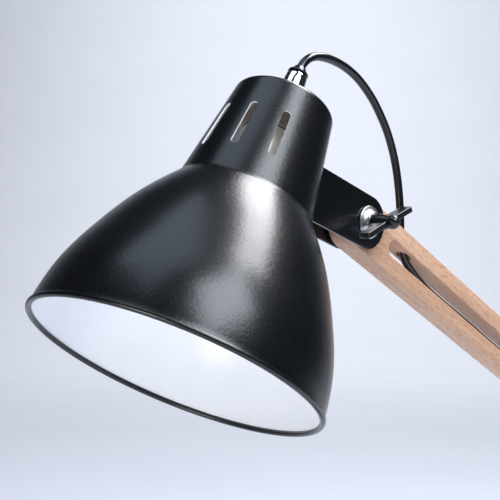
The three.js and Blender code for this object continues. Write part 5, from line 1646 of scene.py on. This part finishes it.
def switch_outline(inwards=0.0):
    """A long shape with tapering round ends, or the same one moved inwards."""
    end = SWITCH_WIDTH * ROUND_END_SHARE
    long, wide = SWITCH_LENGTH / 2 - inwards, SWITCH_WIDTH / 2 - inwards
    corner = soft_corner((long - end, -wide), (long, -wide), (long, 0), OUTLINE_STEPS)
    right = corner + [(x, -z) for x, z in reversed(corner[:-1])]
    return right + [(-x, -z) for x, z in right]


def switch_half(name, low, high, edges, inner_low, inner_high):
    """One half shell, with a hollow between two heights and a bore for the lead."""
    place = SWITCH @ LYING
    half = plate(name, switch_outline(), [], low, high, [NYLON], place, *edges, 6)
    hollow = switch_outline(SWITCH_WALL)
    inner = plate("inner", hollow, [], inner_low, inner_high, [NYLON], place)
    bore = drill(CORD_BORE, (-BORE_REACH, 0, SEAM), (BORE_REACH, 0, SEAM), SWITCH, NYLON)
    return cut(half, inner, bore)


def window():
    """The opening for the rocker, through the top of the shell."""
    x, y = WINDOW_LENGTH / 2, WINDOW_WIDTH / 2
    return block("window", (-x, -y, SWITCH_HEIGHT - 5), (x, y, SWITCH_HEIGHT + 5), SWITCH, NYLON)


def grooves(start):
    """A row of finger grooves across the top, from a place along the switch."""
    low = (start, -GROOVE_REACH, SWITCH_HEIGHT - GROOVE_DEPTH)
    high = (start + GROOVE_WIDTH, GROOVE_REACH, SWITCH_HEIGHT + 2)
    first = block("groove", low, high, SWITCH, NYLON)
    return row_of(first, GROOVES_IN_ROW, (GROOVE_STEP * MM, 0, 0), NYLON)


ceiling = SWITCH_HEIGHT - SWITCH_WALL
low_half = (0, SEAM - GAP / 2, (BOTTOM_EDGE, SEAM_EDGE), SWITCH_WALL, SEAM + 2)
high_half = (SEAM + GAP / 2, SWITCH_HEIGHT, (SEAM_EDGE, TOP_EDGE), SEAM - 2, ceiling)
stand_in(switch_half("switch_shell_bottom", *low_half), "switch_bottom")
top = switch_half("switch_shell_top", *high_half)
cut(top, window(), *(grooves(start) for start in GROOVE_STARTS))
stand_in(soften(top, 0.22, 2, 50), "switch_top")

# %% [markdown]
# The rocker is dished for a finger and tapers to its pivot inside, so it can tilt in its window.

# %% Mould the rocker
ROCKER_REACH = 9  # to either side of the pivot
ROCKER_HALF_WIDTH = 5
ROCKER_EDGE = 0.7
DISH_LOW, DISH_RISE = -0.4, 1.6  # of the middle, and of the ends above it
ROCKER_FOOT = [(-8.1, -3.5), (-2.7, -7), (2.7, -7), (8.1, -3.5)]


def rocker_outline():
    """A dished top from one end to the other, then round the foot."""
    along = range(ROCKER_REACH, -ROCKER_REACH - 1, -1)
    dished = [(x, DISH_LOW + DISH_RISE * (x / ROCKER_REACH) ** 2) for x in along]
    return [*dished, *ROCKER_FOOT]


tilt = Matrix.Rotation(math.radians(ROCKER_TILT), 4, "Y")
rocker_place = SWITCH @ shift(z=SWITCH_HEIGHT) @ tilt
wide = ROCKER_HALF_WIDTH
rocker = plate("switch_rocker_dished", rocker_outline(), [], -wide, wide, [NYLON], rocker_place, ROCKER_EDGE)
stand_in(rocker, "switch_rocker")

# %% [markdown]
# The coil is held by one plastic tie: a band round the six loops and a small lock on its outside.

# %% Tie the coil
TIE_MIDDLE = shift(25.65, 170, 7.6)
BAND_OUTSIDE = (10.1, 7, 3.6)  # half its width, half its height and its corner
BAND_INSIDE = (9.3, 6.2, 2.8)
BAND_HALF_DEPTH = 2
LOCK_LOW, LOCK_HIGH = (9.7, -2.8, -2.4), (12.2, 2.8, 2.4)
BOX_CORNER_STEPS = 6


def rounded_box(half_x, half_z, radius):
    """A rectangle in X and Z with round corners."""
    x, z = half_x - radius, half_z - radius
    corners = [((x, z), 0), ((-x, z), 90), ((-x, -z), 180), ((x, -z), 270)]
    arcs = [arc(centre, radius, start, start + 90, BOX_CORNER_STEPS) for centre, start in corners]
    return list(itertools.chain.from_iterable(arcs))


band, opening = rounded_box(*BAND_OUTSIDE), rounded_box(*BAND_INSIDE)
half_depth = BAND_HALF_DEPTH
tie = plate("coil_band", band, [opening], -half_depth, half_depth, [NYLON], TIE_MIDDLE, 0.2)
lock = block("lock", LOCK_LOW, LOCK_HIGH, TIE_MIDDLE, NYLON)
stand_in(soften(combine(tie, [lock], "UNION"), 0.3, 2, 50), "coil_tie")

# %% [markdown]
# ### The plug
# The body is one outline with round edges, and its ribbed neck is turned and joined to it. The two pins
# are a row of two.

# %% Mould the plug
PLUG = shift(61, 203, 6.9)
PLUG_THICK = 13.6
PLUG_EDGE = 4
PLUG_HALF_WIDTH = 13.5
PLUG_FACE = 57  # from the tip of the neck
PIN_SPACING = 19
NECK_LENGTH, NECK_END, NECK_RADIUS = 22, 27, 5.6
NECK_SIDES = 64


def plug_outline():
    """The shoulders swell out of the neck, and the face is flat with soft corners."""
    wide, face = PLUG_HALF_WIDTH, PLUG_FACE
    side = [(20, 5.0), *soft_corner((21, 5.4), (26, 13.2), (36, wide), OUTLINE_STEPS)]
    side += soft_corner((face - 4.5, wide), (face, wide), (face, wide - 4), 8)
    return side + [(x, -z) for x, z in reversed(side)]


def neck_profile():
    """A hollow tip, a taper and a straight end that sinks into the body."""
    tip = [(0, 0.6), (3.0, 0.6), (3.0, 0), (3.6, 0.4)]
    return [*tip, (NECK_RADIUS, NECK_LENGTH), (NECK_RADIUS, NECK_END), (0, NECK_END)]


half = PLUG_THICK / 2
edges = (PLUG_EDGE, PLUG_EDGE, 8)
plug = plate("plug_moulding", plug_outline(), [], -half, half, [RUBBER], PLUG @ LYING, *edges)
neck = turned("neck", neck_profile(), [RUBBER], PLUG @ ALONG_X, NECK_SIDES)
combine(neck, [ribs("ribs", 3.9, 5.35, 3, 19, 7, PLUG @ ALONG_X, RUBBER)], "UNION")
combine(plug, [neck], "UNION")
cut(plug, drill(CORD_BORE, (-2, 0, 0), (4, 0, 0), PLUG, RUBBER))
stand_in(plug, "plug_body")
row_like(
    ["plug_pin_right", "plug_pin_left"],
    "plug_pins",
    BRASS,
    PLUG @ shift(y=-PIN_SPACING / 2) @ ALONG_X,
    (0, PIN_SPACING, 0),
)

# %% [markdown]
# ## The mains lead
# From the strain relief to the plug the lead is one piece, so it is one tube: along the table, through
# the switch, round the coil and into the plug's neck.

# %% Lay the mains lead
PLUG_ENTRY = (63, 203, 6.9)
STEPS_IN_SWITCH = 10


def mains_line():
    """From the base to the switch, through it, round the coil and into the plug."""
    line = smooth_line(RUN_ROUTE, LINE_STEPS)
    line += smooth_line([RUN_ROUTE[-1], TAIL_ROUTE[0]], STEPS_IN_SWITCH)[1:]
    line += smooth_line(TAIL_ROUTE, LINE_STEPS)[1:-1]
    line += coil
    return line + smooth_line([*END_ROUTE, PLUG_ENTRY], LINE_STEPS)


mains = tube("mains_lead", mains_line(), LEAD)
mains_path = in_metres(mains_line())
finish_piece(
    mains, "base", ["mains_lead_run", "mains_lead_tail", "mains_lead_coil", "mains_lead_end"]
)
length_of(mains_line()) * MM
print("mains lead:", round(length_of(mains_line())), "mm")

# %% [markdown]
# ## The solids that stay as they are
# The cast weight, the nipple, the lock nut and the other pieces inside keep their CAD shape. A finish
# is put on each of their slots, on the object and not in its mesh, so the mesh stays untouched.

# %% Finishes for the CAD nodes that keep their shape
FINISH_OF_SLOT = {
    "satin_black_paint": BLACK_PAINT,
    "beech": UPPER_BEECH,
    "chrome": CHROME,
    "satin_steel": STEEL,
    "black_nylon": NYLON,
    "black_pvc": LEAD,
    "black_rubber": RUBBER,
    "porcelain": PORCELAIN,
    "brass": BRASS,
    "opal": OPAL,
    "bulb_cap_metal": ALUMINIUM,
    "cast_iron": IRON,
}
for node, part in frame["nodes"].items():
    for slot in part.material_slots:
        name = slot.material.name.split(".")[0]
        slot.link = "OBJECT"
        slot.material = FINISH_OF_SLOT[name]
print("solids with a finish:", len(frame["nodes"]))

# %% [markdown]
# ## The setting
# The photograph's background is a pale, slightly blue sweep with soft daylight. A wide floor that
# curves up behind the lamp gives the same, without a line at the horizon.

# %% Roll out the sweep
SWEEP_LOW, SWEEP_HIGH = (0.75, 0.79, 0.88), (0.77, 0.81, 0.90)
SWEEP_DEPTH, SWEEP_HALF_WIDTH, SWEEP_TOP, SWEEP_BEND = 6000, 9000, 6000, 2500
SWEEP_STEPS = 16


def make_sweep():
    """A floor that curves up into a wall, seen along its middle by the camera."""
    material, tree, shader = new_finish("pale_sweep", (0.78, 0.80, 0.87), 0.9)
    haze = grain(tree, 3, detail=2)
    drive(tree, shader, base_color=ramp(tree, haze, (NOISE_LOW, SWEEP_LOW), (NOISE_HIGH, SWEEP_HIGH)))
    depth, bend = SWEEP_DEPTH, SWEEP_BEND
    angles = [math.pi / 2 * i / SWEEP_STEPS for i in range(SWEEP_STEPS + 1)]
    curve = [(depth - bend + bend * math.sin(t), bend - bend * math.cos(t)) for t in angles]
    line = [(-depth, 0), *curve, (depth, SWEEP_TOP)]
    sides = (-SWEEP_HALF_WIDTH, SWEEP_HALF_WIDTH)
    points = [(along, across, height) for across in sides for along, height in line]
    count = len(line)
    faces = [(i, i + 1, i + 1 + count, i + count) for i in range(count - 1)]
    sweep = piece_from("sweep", points, faces, [material], Matrix.Rotation(math.radians(45), 4, "Z"))


make_sweep()
print("sweep:", SWEEP_HALF_WIDTH * 2 * MM, "m wide")

# %% [markdown]
# ### The lights
# Gloss black shows hardly anything but what it mirrors, so each highlight of the photograph tells
# where a soft box stood. The key box gives the bright patch below the crease, the side box the longer
# one down the bell and the light on the cap's right, and the top box the faint grey on the left of both.
# The mouth box shines into the shade, and the wall box lights the sweep.

# %% Set up the soft boxes


def soft_light(name, aim, azimuth, height, distance, size, power, colour):
    """A soft box that is aimed at a point, from an azimuth and a height in degrees. Sizes in metres."""
    level = math.cos(math.radians(height))
    way = Vector((
        level * math.cos(math.radians(azimuth)),
        level * math.sin(math.radians(azimuth)),
        math.sin(math.radians(height)),
    ))
    data = bpy.data.lights.new(name, "AREA")
    data.shape = "RECTANGLE"
    data.size, data.size_y = size
    data.energy = power
    data.color = colour
    light = bpy.data.objects.new(name, data)
    bpy.context.scene.collection.objects.link(light)
    light.location = Vector(aim) + way * distance
    light.rotation_mode = "QUATERNION"
    light.rotation_quaternion = way.to_track_quat("Z", "Y")
    light.visible_camera = False
    print(name, "at", [round(v, 2) for v in light.location])


def light_world(colour, strength):
    """A weak even light from all sides."""
    world = bpy.data.worlds.new("soft daylight")
    world.use_nodes = True
    background = world.node_tree.nodes["Background"]
    background.inputs["Color"].default_value = (*colour, 1)
    background.inputs["Strength"].default_value = strength
    bpy.context.scene.world = world


SHADE_MIDDLE = (-0.27, 0, 0.46)
SHADE_INSIDE = (-0.30, 0, 0.42)
SWEEP_SPOT = (4.1, 3.55, 0.6)
# Aim, azimuth and height in degrees, distance and size in metres, power in watts, colour
SOFT_BOXES = {
    "key_box": (SHADE_MIDDLE, -20, 57, 1.8, (1.45, 0.64), 46, (0.97, 0.975, 1.0)),
    "side_box": (SHADE_MIDDLE, -92, 44, 1.6, (0.95, 0.8), 25, (0.85, 0.91, 1.0)),
    "mouth_box": (SHADE_INSIDE, 192, -4, 0.95, (0.5, 0.3), 4.5, (1.0, 0.985, 0.96)),
    "top_box": (SHADE_MIDDLE, 165, 76, 1.8, (1.2, 1.2), 9, (0.70, 0.82, 1.0)),
    "wall_box": (SWEEP_SPOT, 225, 49, 3.4, (3.4, 1.6), 114, (1.0, 0.995, 0.985)),
}
light_world((0.90, 0.94, 1.0), 0.03)
for name, values in SOFT_BOXES.items():
    soft_light(name, *values)
bpy.context.scene.view_settings.view_transform = "Standard"
